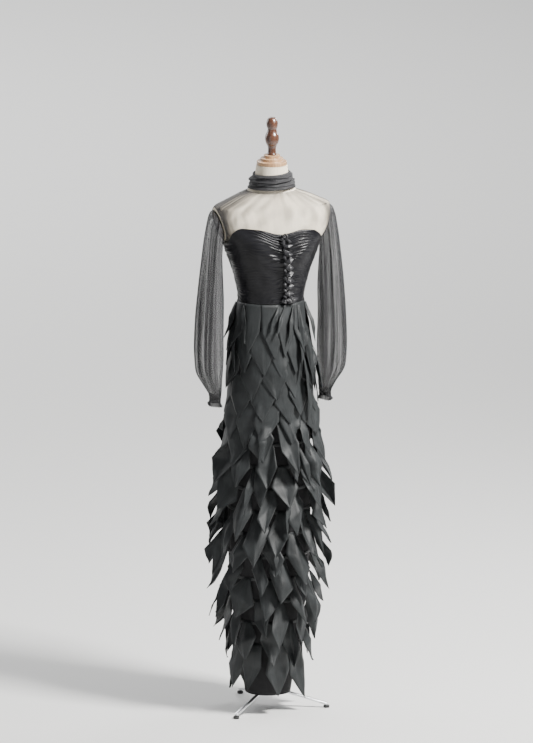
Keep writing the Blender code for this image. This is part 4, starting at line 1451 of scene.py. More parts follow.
@dataclass
class Bodice:
    """Two ruched satin fronts and a ruched back."""

    wardrobe: Wardrobe
    rest: float = 0.0040
    wall: float = 0.0010
    pleats: int = 23
    rise: float = 0.0042
    slope: float = 0.0100
    gap: float = math.radians(0.11)
    row_count: int = 190
    beside_angle: float = math.radians(9)
    beside_width: float = math.radians(19)
    seam_width: float = math.radians(17)
    bunched_at: float = 0.86
    bunched_span: float = 0.20
    fan: float = 0.040
    fan_from: float = 0.80
    fine_pace: float = 1.7
    crest_power: float = 0.85
    coarse_part: float = 0.86
    fine_part: float = 0.14
    flat_part: float = 0.12
    depth_range: tuple[float, float] = (0.08, 1.3)
    foot_fade: float = 0.024
    head_fade: float = 0.012

    def relief(self, angles: Array, share: Array, seed: int) -> Array:
        """Uneven level gathers, deepest beside the ruffled strip and the side seams.

        Args:
            angles: angles round the piece, in radians.
            share: shares from the foot to the head.
            seed: picks the unevenness.

        Returns:
            Heights in metres.
        """
        placket = PLACKET_DRIFT * (1 - share)
        beside = bump_over(np.abs(angles - placket), self.beside_angle, self.beside_width)
        seams = sum(bump_over(np.abs(angles), side, self.seam_width)
                    for side in (math.pi / 2, 3 * math.pi / 2))
        drop = self.slope * np.cos(angles) / (BACK_TOP - WAIST)
        fan = self.fan * beside * (share - self.fan_from)
        wander = 0.85 * ripple(angles * 0.75, share * 2.8, seed)
        first = self.pleats * (share + drop + fan) + wander
        second = (self.pleats * self.fine_pace * (share + drop)
                  + 0.8 * ripple(angles * 0.8, share * 3.0, seed + 3))
        high = bump_over(share, self.bunched_at, self.bunched_span)
        depth = 0.14 + beside * (0.30 + 1.05 * high) + seams * (0.25 + 0.45 * high)
        depth = depth * (0.80 + 0.50 * ripple(angles * 1.6, share * 6.5, seed + 1))
        folds = np.abs(np.sin(math.pi * first)) ** self.crest_power
        fine = (np.abs(np.sin(math.pi * second))
                * (0.35 + 0.25 * ripple(angles * 2, share * 4, seed + 5)))
        edge = (np.clip(0.5 + share / self.foot_fade, 0, 1)
                * np.clip((1 - share) / self.head_fade, 0, 1))
        return self.rise * (self.flat_part + edge * np.clip(depth, *self.depth_range)
                            * (self.coarse_part * folds + self.fine_part * fine))

    def grid(self, first: Callable[[Array], Array],
             last: Callable[[Array], Array], columns: int, seed: int) -> Array:
        """Points of one panel.

        Args:
            first: angle of its first edge at each share climbed.
            last: angle of its last edge.
            columns: points across.
            seed: picks the unevenness.

        Returns:
            The grid of points.
        """
        share = np.linspace(0, 1, self.row_count)[:, None]
        across = np.linspace(0, 1, columns)[None, :]
        angles = first(share) + (last(share) - first(share)) * across
        foot = WAIST + SEAM_GAP
        heights = foot + (bodice_top(angles) - foot) * share
        return TORSO.point(angles, heights, self.rest + self.relief(angles, share, seed))

    def build(self) -> None:
        """Build the three panels."""
        side = math.pi / 2
        panels = (
            ("satin_front_right", "bodice_front_right", lambda s: self.gap - side + 0 * s,
             lambda s: PLACKET_DRIFT * (1 - s) - self.gap, 76, 11),
            ("satin_front_left", "bodice_front_left", lambda s: PLACKET_DRIFT * (1 - s) + self.gap,
             lambda s: side - self.gap + 0 * s, 68, 23),
            ("satin_back", "bodice_back", lambda s: side + self.gap + 0 * s,
             lambda s: 3 * side - self.gap + 0 * s, 100, 37),
        )
        for name, node, first, last, columns, seed in panels:
            rows = self.grid(first, last, columns, seed)
            ClothPiece(name, rows, False, self.wall, Held.STRETCHED, ("torso",), "black_satin",
                       self.wardrobe.satin, (node,)).build()


# Leaves of cloth: the ruffled strip and the petals

@dataclass
class Leaf:
    """One hanging diamond of cloth, by its corners about the stand's axis."""

    top: Vector
    top_half: Vector
    middle: Vector
    middle_half: Vector
    tip: Vector
    outward: Vector
    fold: float
    roll: float
    twist: float
    curl: float
    sway: float
    phase: float
    skew: float = 0.0
    wrap: float = 0.0
    facet: float = 0.0

    @property
    def half_width(self) -> float:
        """Half of its width."""
        return self.middle_half.length

    @property
    def drop(self) -> float:
        """Its length by way of its middle."""
        return (self.middle - self.top).length + (self.tip - self.middle).length


@dataclass
class LeafBed:
    """A mesh that carries leaves for the leaf tree, with the band that they are sewn to."""

    name: str
    leaves: list[Leaf] = field(default_factory=list)

    def build(self, tree: ShapeTree, finish: Material, band: Mesh,
              **values: float) -> Piece:
        """Grow the leaves.

        Args:
            tree: the leaf tree.
            finish: the cloth.
            band: a mesh that stays as it is.
            values: numbers for the tree's inputs.

        Returns:
            The finished object.
        """
        shape = bmesh.new()
        shape.from_mesh(band)
        bpy.data.meshes.remove(band)
        plain = len(shape.verts)
        axis = Vector(stand_axis())
        for leaf in self.leaves:
            shape.verts.new(leaf.top + axis)
        mesh = kept(shape, bpy.data.meshes.new(self.name))
        for label in LEAF_PLACES + LEAF_SPANS:
            aside = axis if label in LEAF_PLACES else Vector()
            store_on(mesh, label, [(0.0, 0.0, 0.0)] * plain
                     + [tuple(getattr(leaf, label) + aside) for leaf in self.leaves])
        for label in LEAF_NUMBERS:
            store_on(mesh, label, [0.0] * plain + [getattr(leaf, label) for leaf in self.leaves])
        store_on(mesh, "leaf", [0.0] * plain + [1.0] * len(self.leaves))
        piece = make_object(self.name, mesh, finish)
        tree.apply(piece, finish, **values)
        self.lay_flat(piece.data)
        piece.data.shade_smooth()
        return piece

    @staticmethod
    def lay_flat(mesh: Mesh) -> None:
        """Turn the places on the flat cloth into the mesh's cloth map, and drop the rest.

        Args:
            mesh: the grown leaves with their band.
        """
        spots = spots_of(mesh)
        flat = np.zeros(spots.size, np.float32)
        mesh.attributes["flat_place"].data.foreach_get("vector", flat)
        flat = flat.reshape(-1, 3)
        bare = np.abs(flat).sum(axis=1) < 1e-9
        flat[bare, 0] = spots[bare, 0] + spots[bare, 1]
        flat[bare, 1] = spots[bare, 2]
        corners = np.zeros(len(mesh.loops), np.int32)
        mesh.loops.foreach_get("vertex_index", corners)
        for layer in list(mesh.uv_layers):
            mesh.uv_layers.remove(layer)
        layer = mesh.uv_layers.new(name=CLOTH_MAP)
        places = flat[corners][:, :2] + flat[corners][:, 2:3] * 0.37
        layer.data.foreach_set("uv", places.astype(np.float32).ravel())
        for label in [a.name for a in mesh.attributes if a.name not in ("position", CLOTH_MAP)]:
            item = mesh.attributes.get(label)
            if item is not None and not item.is_internal and not item.is_required:
                mesh.attributes.remove(item)


def cut_area(mesh: Mesh) -> float:
    """Area of an open sheet's faces.

    Args:
        mesh: the sheet, before it gets its thickness.

    Returns:
        The area in square metres.
    """
    areas = np.zeros(len(mesh.polygons))
    mesh.polygons.foreach_get("area", areas)
    return float(areas.sum())


@dataclass
class LaidCloth:
    """How far out the cloth round a surface reaches so far, on a grid of angles and heights."""

    surface: BodySurface
    columns: int = 720
    row_height: float = 0.001
    low: float = 0.020
    high: float = 1.600
    spread: int = 3
    samples: int = 7
    gap: float = 0.0008
    most: float = 0.0160
    nothing: float = -0.010

    def __post_init__(self) -> None:
        """Start with the bare surface."""
        heights = np.arange(self.low, self.high, self.row_height)
        turns = np.linspace(0, TAU, self.columns + 1)
        spots = self.surface.point(turns[None, :-1], heights[:, None])
        polar = np.arctan2(spots[..., 0], -spots[..., 1]) % TAU
        radius = np.hypot(spots[..., 0], spots[..., 1])
        angles = ring_of(self.columns)
        self.bare = np.array([np.interp(angles, polar[k], radius[k], period=TAU)
                              for k in range(len(heights))])
        self.reach = np.full(self.bare.shape, self.nothing)
        self.axis = stand_axis()

    def cells(self, spots: Array) -> tuple[Array, Array, Array]:
        """Rows, columns and radii of points round the stand's axis.

        Args:
            spots: points of a mesh.

        Returns:
            Their rows and columns on the grid, and their radii.
        """
        x, y = spots[:, 0] - self.axis[0], spots[:, 1] - self.axis[1]
        column = np.rint(np.arctan2(x, -y) % TAU * self.columns / TAU).astype(int) % self.columns
        row = np.rint((spots[:, 2] - self.low) / self.row_height).astype(int)
        return np.clip(row, 0, len(self.reach) - 1), column, np.hypot(x, y)

    def lay(self, mesh: Mesh, wall: float = 0.0) -> None:
        """Add a sheet.

        Args:
            mesh: the open sheet.
            wall: how far its thickness grows outwards.
        """
        mesh.calc_loop_triangles()
        corners = np.zeros(len(mesh.loop_triangles) * 3, np.int32)
        mesh.loop_triangles.foreach_get("vertices", corners)
        spots = spots_of(mesh).astype(float)[corners].reshape(-1, 3, 3)
        steps = np.linspace(0, 1, self.samples)
        for first in steps:
            for second in steps[steps <= 1 - first + 1e-9]:
                inside = (spots[:, 0] * (1 - first - second) + spots[:, 1] * first
                          + spots[:, 2] * second)
                row, column, radius = self.cells(inside)
                np.maximum.at(self.reach, (row, column), radius + wall - self.bare[row, column])

    def lift(self, mesh: Mesh) -> None:
        """Push an open sheet out where it would lie in the cloth that is there.

        Args:
            mesh: the sheet. What lies much deeper is left, as its fold passes under.
        """
        reach = self.reach
        for way in (0, 1) * self.spread:
            reach = np.maximum(reach, np.maximum(np.roll(reach, 1, way), np.roll(reach, -1, way)))
        for way in (0, 1) * self.spread:
            reach = (reach + np.roll(reach, 1, way) + np.roll(reach, -1, way)) / 3
        spots = spots_of(mesh).astype(float)
        row, column, radius = self.cells(spots)
        short = np.maximum(reach[row, column] + self.gap - (radius - self.bare[row, column]), 0)
        push = short * np.clip(2 - short / self.most, 0, 1)
        spots[:, :2] += (spots[:, :2] - self.axis[:2]) * (push / radius)[:, None]
        mesh.vertices.foreach_set("co", spots.astype(np.float32).ravel())
        mesh.update()


RUFFLE_LOOPS = (
    (0.020, 1, 0.034, 0.34), (0.055, 1, 0.040, 0.12), (0.090, 1, 0.030, -0.16),
    (0.030, -1, 0.020, 0.25), (0.075, -1, 0.018, -0.10), (0.935, 1, 0.020, -0.55),
    (0.970, 1, 0.016, 0.25), (0.950, -1, 0.016, -0.35),
)


@dataclass
class RuffleStrip:
    """Pointed ruffles down the centre front, gathered along a cord, with a knot at the top."""

    wardrobe: Wardrobe
    tree: ShapeTree
    count: int = 9
    foot: float = 0.030
    top: float = 0.905
    overhang: float = 0.02
    rest: float = 0.0058
    wall: float = 0.0008
    knot_share: float = 0.960
    knot_radius: float = 0.0085
    knot_size: tuple[int, int] = (40, 64)
    seed: int = 77
    left_reach: tuple[float, float] = (0.0190, 0.0240)
    right_reach: tuple[float, float] = (0.0110, 0.0145)
    left_tall: tuple[float, float] = (0.52, 0.66)
    right_tall: tuple[float, float] = (0.36, 0.48)
    left_root: float = -0.0075
    right_root: float = -0.0010
    right_lag: float = 0.45
    root_rise: float = 0.0030
    crest_rise: float = 0.0095
    tip_rise: float = 0.0085
    cord_radius: float = 0.0011
    cord_aside: float = 0.0085
    cord_sway: float = 0.0012
    band_half: float = 0.0050
    band_points: tuple[int, int] = (120, 13)
    cord_size: tuple[int, int] = (150, 10)
    laid: LaidCloth = field(default_factory=lambda: LaidCloth(TORSO))

    def spot(self, share: float, across: float, rise: float) -> Vector:
        """Point of the strip at a share climbed, a distance across and a rise.

        Args:
            share: share of the front climbed.
            across: distance towards the wearer's left.
            rise: distance outwards.

        Returns:
            The point.
        """
        angle = PLACKET_DRIFT * (1 - share)
        height = WAIST + FRONT_RISE * share
        place = TORSO.point(angle, height, self.rest + rise)
        turn = math.radians(3)
        aside = unit(TORSO.point(angle + turn, height) - TORSO.point(angle - turn, height))
        return Vector(place + aside * across)

    def facing(self, share: float) -> tuple[Vector, Vector]:
        """Directions along the strip and away from the body.

        Args:
            share: share of the front climbed.

        Returns:
            Both as unit vectors.
        """
        along = self.spot(share + 0.02, 0, 0) - self.spot(share - 0.02, 0, 0)
        outward = self.spot(share, 0, 0.01) - self.spot(share, 0, 0)
        return along.normalized(), outward.normalized()

    def leaf(self, share: float, side: int, chance: random.Random) -> Leaf:
        """One pointed half of a ruffle.

        Args:
            share: share climbed.
            side: 1 towards the wearer's left, -1 towards the right.
            chance: source of the unevenness.

        Returns:
            The leaf.
        """
        wide = side > 0
        root, reach, talls = ((self.left_root, self.left_reach, self.left_tall) if wide
                              else (self.right_root, self.right_reach, self.right_tall))
        reach = side * chance.uniform(*reach)
        step = (self.top - self.foot) / self.count
        share += 0.0 if wide else self.right_lag * step
        up, outward = self.facing(share)
        tall = step * FRONT_RISE * chance.uniform(*talls)
        shelf = (up * 0.70 - outward * 0.72) * (side * tall)
        droop = chance.uniform(-0.25, 0.10) * tall
        return Leaf(
            top=self.spot(share, root, self.root_rise), top_half=shelf * 0.45,
            middle=self.spot(share, root + (reach - root) * chance.uniform(0.42, 0.58),
                             self.crest_rise)
            + up * droop, middle_half=shelf * 0.95,
            tip=self.spot(share, reach, self.tip_rise) + up * (droop * 2.0), outward=outward,
            fold=chance.uniform(0.0020, 0.0036), roll=chance.uniform(-0.9, -0.1),
            twist=chance.uniform(-0.6, 0.6), curl=chance.uniform(-0.5, 0.6),
            sway=chance.uniform(0.0002, 0.0010), phase=chance.uniform(0, TAU),
            skew=chance.uniform(-0.10, 0.10))

    def bunch(self, chance: random.Random) -> list[Leaf]:
        """Loops of satin bunched at the strip's foot and round its knot.

        Args:
            chance: source of the unevenness.

        Returns:
            The loops.
        """
        loops = []
        for share, side, reach, lean in RUFFLE_LOOPS:
            up, outward = self.facing(share)
            shelf = (up * 0.8 - outward * 0.5) * (side * 0.0095)
            loops.append(Leaf(
                top=self.spot(share, 0.002 * side, 0.0040), top_half=shelf * 0.4,
                middle=self.spot(share, reach * 0.5 * side, 0.0105) + up * (lean * reach * 0.5),
                middle_half=shelf,
                tip=self.spot(share, reach * side, 0.0060) + up * (lean * reach), outward=outward,
                fold=0.0040, roll=chance.uniform(-1.0, -0.4), twist=chance.uniform(-0.6, 0.6),
                curl=-0.4, sway=0.0010, phase=chance.uniform(0, TAU)))
        return loops

    def cord(self) -> None:
        """The thin gathering cord sewn down beside the ruffles."""
        rings, sides = self.cord_size
        centre = np.array([tuple(self.spot(
            climb, -self.cord_aside - self.cord_sway * math.sin(9 * climb), self.root_rise))
            for climb in np.linspace(0.02, 0.985, rings)])
        along = unit(np.gradient(centre, axis=0))
        aside = unit(np.cross(along, np.array([0.0, -1.0, 0.0])))
        other = np.cross(along, aside)
        turn = ring_of(sides)[None, :, None]
        rows = centre[:, None] + self.cord_radius * (aside[:, None] * np.cos(turn)
                                                     + other[:, None] * np.sin(turn))
        mesh = capped(grid_mesh("gathering_cord", rows, True))
        seat(make_object("gathering_cord", mesh, self.wardrobe.satin), "black_satin")

    def knot(self) -> None:
        """Small knot of wrapped satin."""
        rings, sides = self.knot_size
        polar = np.linspace(0.02, math.pi - 0.02, rings)[:, None]
        turn = ring_of(sides)[None, :]
        wraps = 1 + 0.075 * np.sin(5 * polar * 2 + 1.5 * np.sin(turn + 0.6) + 0.7)
        waist = (1 - 0.13 * bump_over(turn, math.pi / 2, 0.5)
                 - 0.13 * bump_over(turn, 3 * math.pi / 2, 0.5))
        radius = self.knot_radius * 0.96 * wraps * waist
        x = radius * np.sin(polar) * np.cos(turn) * 1.1
        y = radius * np.sin(polar) * np.sin(turn) * 0.85
        z = -radius * np.cos(polar) + 0 * turn
        centre = self.spot(self.knot_share, 0.0, self.knot_radius * 0.85 - 0.0010)
        rows = np.stack([x, y, z], axis=-1) + np.array(centre)
        piece = make_object("satin_knot", capped(grid_mesh("satin_knot", rows, True)),
                            self.wardrobe.satin)
        self.laid.lift(piece.data)
        seat(piece, "black_satin", "front_knot")

    def band(self) -> Mesh:
        """The narrow band that the ruffles are sewn to."""
        rings, columns = self.band_points
        marks = np.linspace(-1, 1, columns)
        rows = []
        for climb in np.linspace(self.foot - self.overhang, self.top + self.overhang, rings):
            beat = (climb - self.foot) / (self.top - self.foot) * self.count
            pinch = 0.5 + 0.5 * abs(math.sin(math.pi * beat))
            rows.append([tuple(self.spot(climb, self.band_half * mark * (0.6 + 0.4 * pinch),
                                         0.0012 * pinch - 0.0016 * mark * mark))
                         for mark in marks])
        return grid_mesh("satin_ruffle_band", np.array(rows), False)

    def build(self) -> None:
        """Build the strip and its knot, over the bodice's fronts."""
        for side in ("left", "right"):
            self.laid.lay(bpy.data.objects[f"satin_front_{side}"].data)
        chance = random.Random(self.seed)
        bed = LeafBed("satin_ruffles")
        for k in range(self.count):
            share = self.foot + (self.top - self.foot) * (k + 0.5) / self.count
            bed.leaves += [self.leaf(share, side, chance) for side in (1, -1)]
        bed.leaves += self.bunch(chance)
        # The ruffles take the lighter satin with painted light on it
        piece = bed.build(self.tree, self.wardrobe.ruffle_satin_painted_lit, self.band(), Across=13, Along=19,
                          Roll=0.0030, Crumple=0.0006)
        self.laid.lift(piece.data)
        area = cut_area(piece.data)
        thicken(piece, self.wall, 1)
        seat(piece, "black_satin", "front_ruffle_strip")
        length = (self.top - self.foot + 2 * self.overhang) * FRONT_RISE
        area / length
        self.knot()
        self.cord()


# Sheer net

YOKE_CREASES = tuple(Crease(*row) for row in (
    (58, 5.0, 0.0016, 0.30, 1.00, -6), (66, 3.5, 0.0020, 0.15, 0.98, -10),
    (74, 3.0, 0.0018, 0.10, 0.92, -12), (46, 4.5, 0.0011, 0.45, 1.00, -4),
    (30, 7.0, 0.0009, 0.20, 0.95, 3), (8, 6.0, 0.0007, 0.10, 0.90, -4),
    (-14, 6.0, 0.0008, 0.15, 0.95, 3), (-33, 6.0, 0.0010, 0.20, 1.00, 5),
    (-50, 4.0, 0.0014, 0.35, 1.00, 6), (-60, 3.5, 0.0019, 0.20, 0.96, 9),
    (-69, 3.0, 0.0021, 0.10, 0.95, 12), (-77, 2.5, 0.0016, 0.05, 0.85, 10),
))
SLEEVE_CREASES = tuple(Crease(*row) for row in (
    (-4, 6, 0.0042, 0.00, 0.62, 7), (-26, 8, 0.0050, 0.04, 0.90, -6),
    (-44, 6, -0.0030, 0.10, 0.98, 4), (-63, 9, 0.0056, 0.00, 0.99, 8),
    (-86, 7, 0.0040, 0.05, 0.72, -10), (-108, 8, 0.0052, 0.00, 0.95, 6),
    (-133, 7, -0.0026, 0.15, 0.88, -5), (-152, 9, 0.0036, 0.00, 0.70, 4),
    (176, 10, 0.0026, 0.10, 0.80, -6), (151, 8, 0.0040, 0.00, 0.85, 5),
    (128, 8, 0.0050, 0.04, 0.97, -7), (106, 7, -0.0028, 0.10, 0.90, 6),
    (87, 9, 0.0052, 0.00, 0.96, -5), (62, 7, 0.0044, 0.06, 0.75, 9),
    (41, 8, 0.0054, 0.00, 0.99, -6), (18, 6, -0.0026, 0.12, 0.85, 5),
    (-74, 3, 0.0022, 0.70, 1.00, 5), (-52, 3, 0.0024, 0.72, 1.00, -4),
    (-34, 3, 0.0020, 0.75, 1.00, 6), (-96, 3, 0.0020, 0.76, 1.00, 3),
    (50, 3, 0.0022, 0.74, 1.00, 4), (73, 3, 0.0022, 0.72, 1.00, -5),
    (98, 3, 0.0020, 0.75, 1.00, 3), (118, 3, 0.0018, 0.78, 1.00, -3),
))


@dataclass(frozen=True)
class Wrap:
    """One slanting wrap of the collar: its height as a share, slant, width and rise."""

    level: float
    slant: float
    turn: float
    width: float
    rise: float

    def relief(self, angles: Array, share: Array) -> Array:
        """Height of this wrap over a grid of angles and shares climbed.

        Args:
            angles: angles round the piece, in radians.
            share: shares from the foot to the head.

        Returns:
            Heights in metres.
        """
        centre = self.level + self.slant * np.sin(angles - math.radians(self.turn))
        strength = 0.72 + 0.28 * np.cos(angles * 2 - math.radians(self.turn))
        return self.rise * strength * np.exp(-((share - centre) / self.width) ** 2)


COLLAR_WRAPS = tuple(Wrap(*row) for row in (
    (0.04, 0.05, 20, 0.085, 0.0050), (0.24, 0.14, 70, 0.095, 0.0062),
    (0.46, 0.17, 100, 0.085, 0.0058), (0.68, 0.15, 60, 0.090, 0.0062),
    (0.90, 0.08, 120, 0.085, 0.0054), (0.55, 0.34, 250, 0.055, 0.0026),
    (0.30, 0.28, 300, 0.045, 0.0022),
))


@dataclass
class Yoke:
    """Sheer net from the bodice's top edge to the neck."""

    wardrobe: Wardrobe
    rest: float = 0.0014
    wall: float = 0.0005
    seam: float = 0.0010
    side: float = math.radians(89.85)
    setback: float = math.radians(0.6)
    foot_fade: float = 0.04
    unevenness: float = 0.0004
    relief_range: tuple[float, float] = (-0.0008, 0.0032)
    dense_relief: float = 0.0055
    seam_width: float = 0.10
    foot_rounds: int = 8
    column_count: int = 121
    row_count: int = 62

    def panel(self, turn: float) -> tuple[Array, Array]:
        """Points of one half, and how dense its net is there: gathered at the seams and folds, and
        with painted shade over the wearer's right shoulder.

        Args:
            turn: 0 for the front, half a turn for the back.

        Returns:
            The grid of points and the grid of densities.
        """
        marks = np.linspace(-1, 1, self.column_count)
        share = np.linspace(0, 1, self.row_count)[:, None]
        foot = np.full(self.column_count, BACK_TOP)
        for _ in range(self.foot_rounds):
            foot = bodice_top(marks * armhole_angle(foot, self.side) + turn) + self.seam
        heights = foot[None, :] + (YOKE_TOP - foot[None, :]) * share
        reach = armhole_angle(heights, self.side)
        reach = np.where(reach < self.side, reach - self.setback, reach)
        angles = marks[None, :] * reach
        relief = relief_of(YOKE_CREASES, angles, share + 0 * angles)
        relief = relief + self.unevenness * ripple(angles * 3.0, share * 2.0, 61)
        edge = np.clip(share / self.foot_fade, 0, 1)
        lift = self.rest + np.clip(relief, *self.relief_range) * edge
        aside = np.abs(marks)[None, :] + 0 * angles
        seam = (bump_over(aside, 1.0, self.seam_width) * 0.5
                + bump_over(share, 1.0, self.seam_width) * 0.25)
        # Denser net over the wearer's right shoulder: partly gathered net, partly painted shade
        # where that side falls in shadow
        right = bump_over(marks[None, :] * (1 if turn == 0 else -1), -0.90, 0.24)
        right = right * (0.35 + 0.65 * bump_over(share, 0.90, 0.50))
        right = right * (0.85 + 0.35 * ripple(angles * 7, share, 19))
        density = np.clip(seam + right + relief / self.dense_relief, 0, 1)
        return TORSO.point(angles + turn, heights, lift), density

    def build(self) -> None:
        """Build both halves."""
        for name, turn in (("front", 0.0), ("back", math.pi)):
            rows, density = self.panel(turn)
            ClothPiece(f"net_yoke_{name}", rows, False, self.wall, Held.STRETCHED, ("torso",),
                       "black_net", self.wardrobe.yoke_net, (f"yoke_{name}",), density).build()


@dataclass
class Collar:
    """Net wrapped round the neck in slanting folds."""

    wardrobe: Wardrobe
    wall: float = 0.0007
    folds: int = 7
    fold_depth: float = 0.0022
    foot_lift: float = 0.0055
    inset: float = 0.0026
    slant: float = math.radians(50)
    unevenness: float = 0.0004
    column_count: int = 208
    row_count: int = 72

    def build(self) -> None:
        """Build the collar."""
        share = np.linspace(0, 1, self.row_count)[:, None]
        angles = ring_of(self.column_count)[None, :]
        heights = COLLAR_SECTIONS[0][0] + (COLLAR_SECTIONS[-1][0] - COLLAR_SECTIONS[0][0]) * share
        half_width, half_depth, lift = SmoothTable(COLLAR_SECTIONS).at(heights)
        fold = self.fold_depth * 0.5 * np.sin(self.folds * (angles - self.slant * share))
        fold = fold * np.sin(math.pi * (0.15 + 0.80 * share)) - self.inset
        fold = fold + sum(wrap.relief(angles, share) for wrap in COLLAR_WRAPS)
        fold = fold + self.unevenness * ripple(angles * 1.6, share * 2.5, 5)
        x = (half_width + fold) * np.sin(angles)
        y = -(half_depth + fold) * np.cos(angles)
        z = heights + self.foot_lift * (1 - share) ** 2 + lift * np.sin(angles)
        rows = np.stack([x, y, z + 0 * x], axis=-1)
        ClothPiece("net_collar", rows, True, self.wall, Held.GATHERED, ("torso",), "black_net",
                   self.wardrobe.collar_net, ("collar",)).build()


@dataclass
class Sleeve:
    """Full net sleeve that hangs from the armhole into a gathered cuff."""

    wardrobe: Wardrobe
    side: int
    wall: float = 0.0006
    folds: int = 5
    cuff_folds: int = 4
    cuff_centre: float = 0.1790
    column_count: int = 200
    row_count: int = 112
    gathers: int = 31
    gather_depth: float = 0.0018
    unevenness: float = 0.0012
    crease_scale: float = 1.15
    inset: float = 0.0022
    right_turn: float = 0.35
    steepest: float = 0.0042
    cuff_rows: int = 36
    cuff_gathers: int = 22
    cuff_gather: float = 0.0009
    cuff_head_gather: float = 0.0006
    ruffle_depth: float = 0.0030
    ruffle_height: float = 0.0065
    cuff_bands: tuple[tuple[float, float], ...] = ((0.9835, 0.0012), (0.9990, 0.0008))
    band_width: float = 0.0012

    @property
    def name(self) -> str:
        """Which sleeve this is."""
        return "left" if self.side > 0 else "right"

    @property
    def phase(self) -> float:
        """Where its big folds start."""
        return 0.4 if self.side > 0 else 1.7

    def faced(self, rows: Array) -> Array:
        """The rows, mirrored for the right side so that they still face outwards.

        Args:
            rows: points of the left side's grid.

        Returns:
            Points of this side's grid.
        """
        if self.side > 0:
            return rows
        mirrored = rows[:, ::-1].copy()
        mirrored[..., 0] *= -1
        return mirrored

    def sleeve(self) -> None:
        """The sleeve itself."""
        share = np.linspace(0, 1, self.row_count)[:, None]
        angles = ring_of(self.column_count)[None, :]
        table, last = SmoothTable(SLEEVE_SECTIONS), SLEEVE_SECTIONS[-1][0]
        inner_x, inner_z, outer_x, outer_z, half_depth, fold_depth = table.at(last * (1 - share))
        reach_x, reach_z = (outer_x - inner_x) / 2, (outer_z - inner_z) / 2
        size = (np.hypot(reach_x, reach_z) + half_depth) / 2
        deep = fold_depth * np.cos(self.folds * angles + self.phase)
        turned = angles + (self.right_turn if self.side < 0 else 0.0)
        creases = relief_of(SLEEVE_CREASES, turned, share + 0 * angles)
        deep = deep + creases * self.crease_scale - self.inset
        ends = 0.7 * bump_over(share, 0.0, 0.12) + 0.5 * bump_over(share, 1.0, 0.10)
        wander = ripple(angles * 0.7, share * 1.5, 71 + self.side)
        pleats = np.sin(self.gathers * angles + 0.8 * wander)
        uneven = ripple(angles * 0.8, share * 2.2, 83 + self.side)
        deep = deep + self.gather_depth * ends * pleats + self.unevenness * uneven
        steep = np.abs(np.roll(deep, -2, axis=1) - np.roll(deep, 2, axis=1)) / self.steepest
        density = np.clip(0.42 * steep + 0.45 * ends * (0.5 + 0.5 * pleats)
                          + 0.5 * bump_over(share, 1.0, 0.015), 0, 1)
        factor = 1 + deep / size
        x = (inner_x + outer_x) / 2 + reach_x * np.cos(angles) * factor
        z = (inner_z + outer_z) / 2 + reach_z * np.cos(angles) * factor
        y = half_depth * np.sin(angles) * factor
        rows = self.faced(np.stack([x, y, z], axis=-1))
        density = density if self.side > 0 else density[:, ::-1]
        ClothPiece(f"net_sleeve_{self.name}", rows, True, self.wall, Held.GATHERED, ("torso",),
                   "black_net", self.wardrobe.sleeve_net, (f"sleeve_{self.name}",),
                   density).build()

    def cuff(self) -> None:
        """The gathered cuff with its small ruffle."""
        foot, head = CUFF_SECTIONS[0][0], CUFF_SECTIONS[-1][0]
        heights = np.linspace(foot, head, self.cuff_rows)[:, None]
        angles = ring_of(self.column_count)[None, :]
        half_width, half_depth, fold = SmoothTable(CUFF_SECTIONS).at(heights)
        fold = fold * np.cos(self.cuff_folds * angles + self.phase)
        ruffle = self.ruffle_depth * bump_over(heights, foot, self.ruffle_height)
        gather = self.cuff_gather + self.cuff_head_gather * bump_over(heights, head, 0.006)
        wander = ripple(angles * 0.6, heights * 30, 91)
        fine = (gather + ruffle) * np.sin(self.cuff_gathers * angles + 0.7 * wander)
        bands = sum(depth * bump_over(heights, height, self.band_width)
                    for height, depth in self.cuff_bands)
        factor = 1 + (fold + fine - bands) / half_width
        x = self.cuff_centre + half_width * np.cos(angles) * factor
        y = half_depth * np.sin(angles) * factor
        rows = self.faced(np.stack([x, y, heights + 0 * x], axis=-1))
        ClothPiece(f"net_cuff_{self.name}", rows, True, self.wall, Held.GATHERED,
                   (f"net_sleeve_{self.name}",), "black_net", self.wardrobe.cuff_net,
                   (f"cuff_{self.name}",)).build()

    def build(self) -> None:
        """Build the sleeve, then its cuff."""
        self.sleeve()
        self.cuff()


# Skirt

SKIRT_CREASES = tuple(Crease(*row) for row in (
    (-74, 5, 0.0007, 0.0, 1.0, 6), (-48, 6, 0.0009, 0.1, 0.9, -5), (-20, 4, 0.0007, 0.0, 1.0, 4),
    (5, 6, 0.0009, 0.2, 1.0, -6), (33, 5, 0.0008, 0.0, 0.9, 5), (61, 6, 0.0007, 0.1, 1.0, -4),
))


@dataclass
class Underskirt:
    """Narrow under-skirt, front and back."""

    wardrobe: Wardrobe
    wall: float = 0.0012
    setback: float = 0.00065
    inset: float = 0.0011
    foot: float = 0.0520
    top: float = 1.2997
    column_count: int = 45
    row_count: int = 100

    def build(self) -> None:
        """Build both halves."""
        share = np.linspace(0, 1, self.row_count)[:, None]
        heights = self.foot + (self.top - self.foot) * share
        reach = math.pi / 2 - self.setback / SKIRT.table.at(heights)[1]
        marks = np.linspace(-1, 1, self.column_count)[None, :]
        for name, turn in (("front", 0.0), ("back", math.pi)):
            angles = marks * reach
            relief = relief_of(SKIRT_CREASES, angles, share + 0 * angles) - self.inset
            rows = SKIRT.point(angles + turn, heights, relief)
            ClothPiece(f"under_skirt_{name}", rows, False, self.wall, Held.HUNG, (),
                       "black_underskirt", self.wardrobe.underskirt,
                       (f"underskirt_{name}",)).build()


@dataclass
class TierShape:
    """Petals of one tier at one height."""

    height: float
    petals: int
    drop: float
    flare: float
    turn: float
    fold: float


@dataclass(frozen=True)
class Sliver:
    """A narrow folded petal placed on one tier."""

    tier: int
    angle: float
    lean: float
    half: float
    length: float
    stand: float
    spin: float


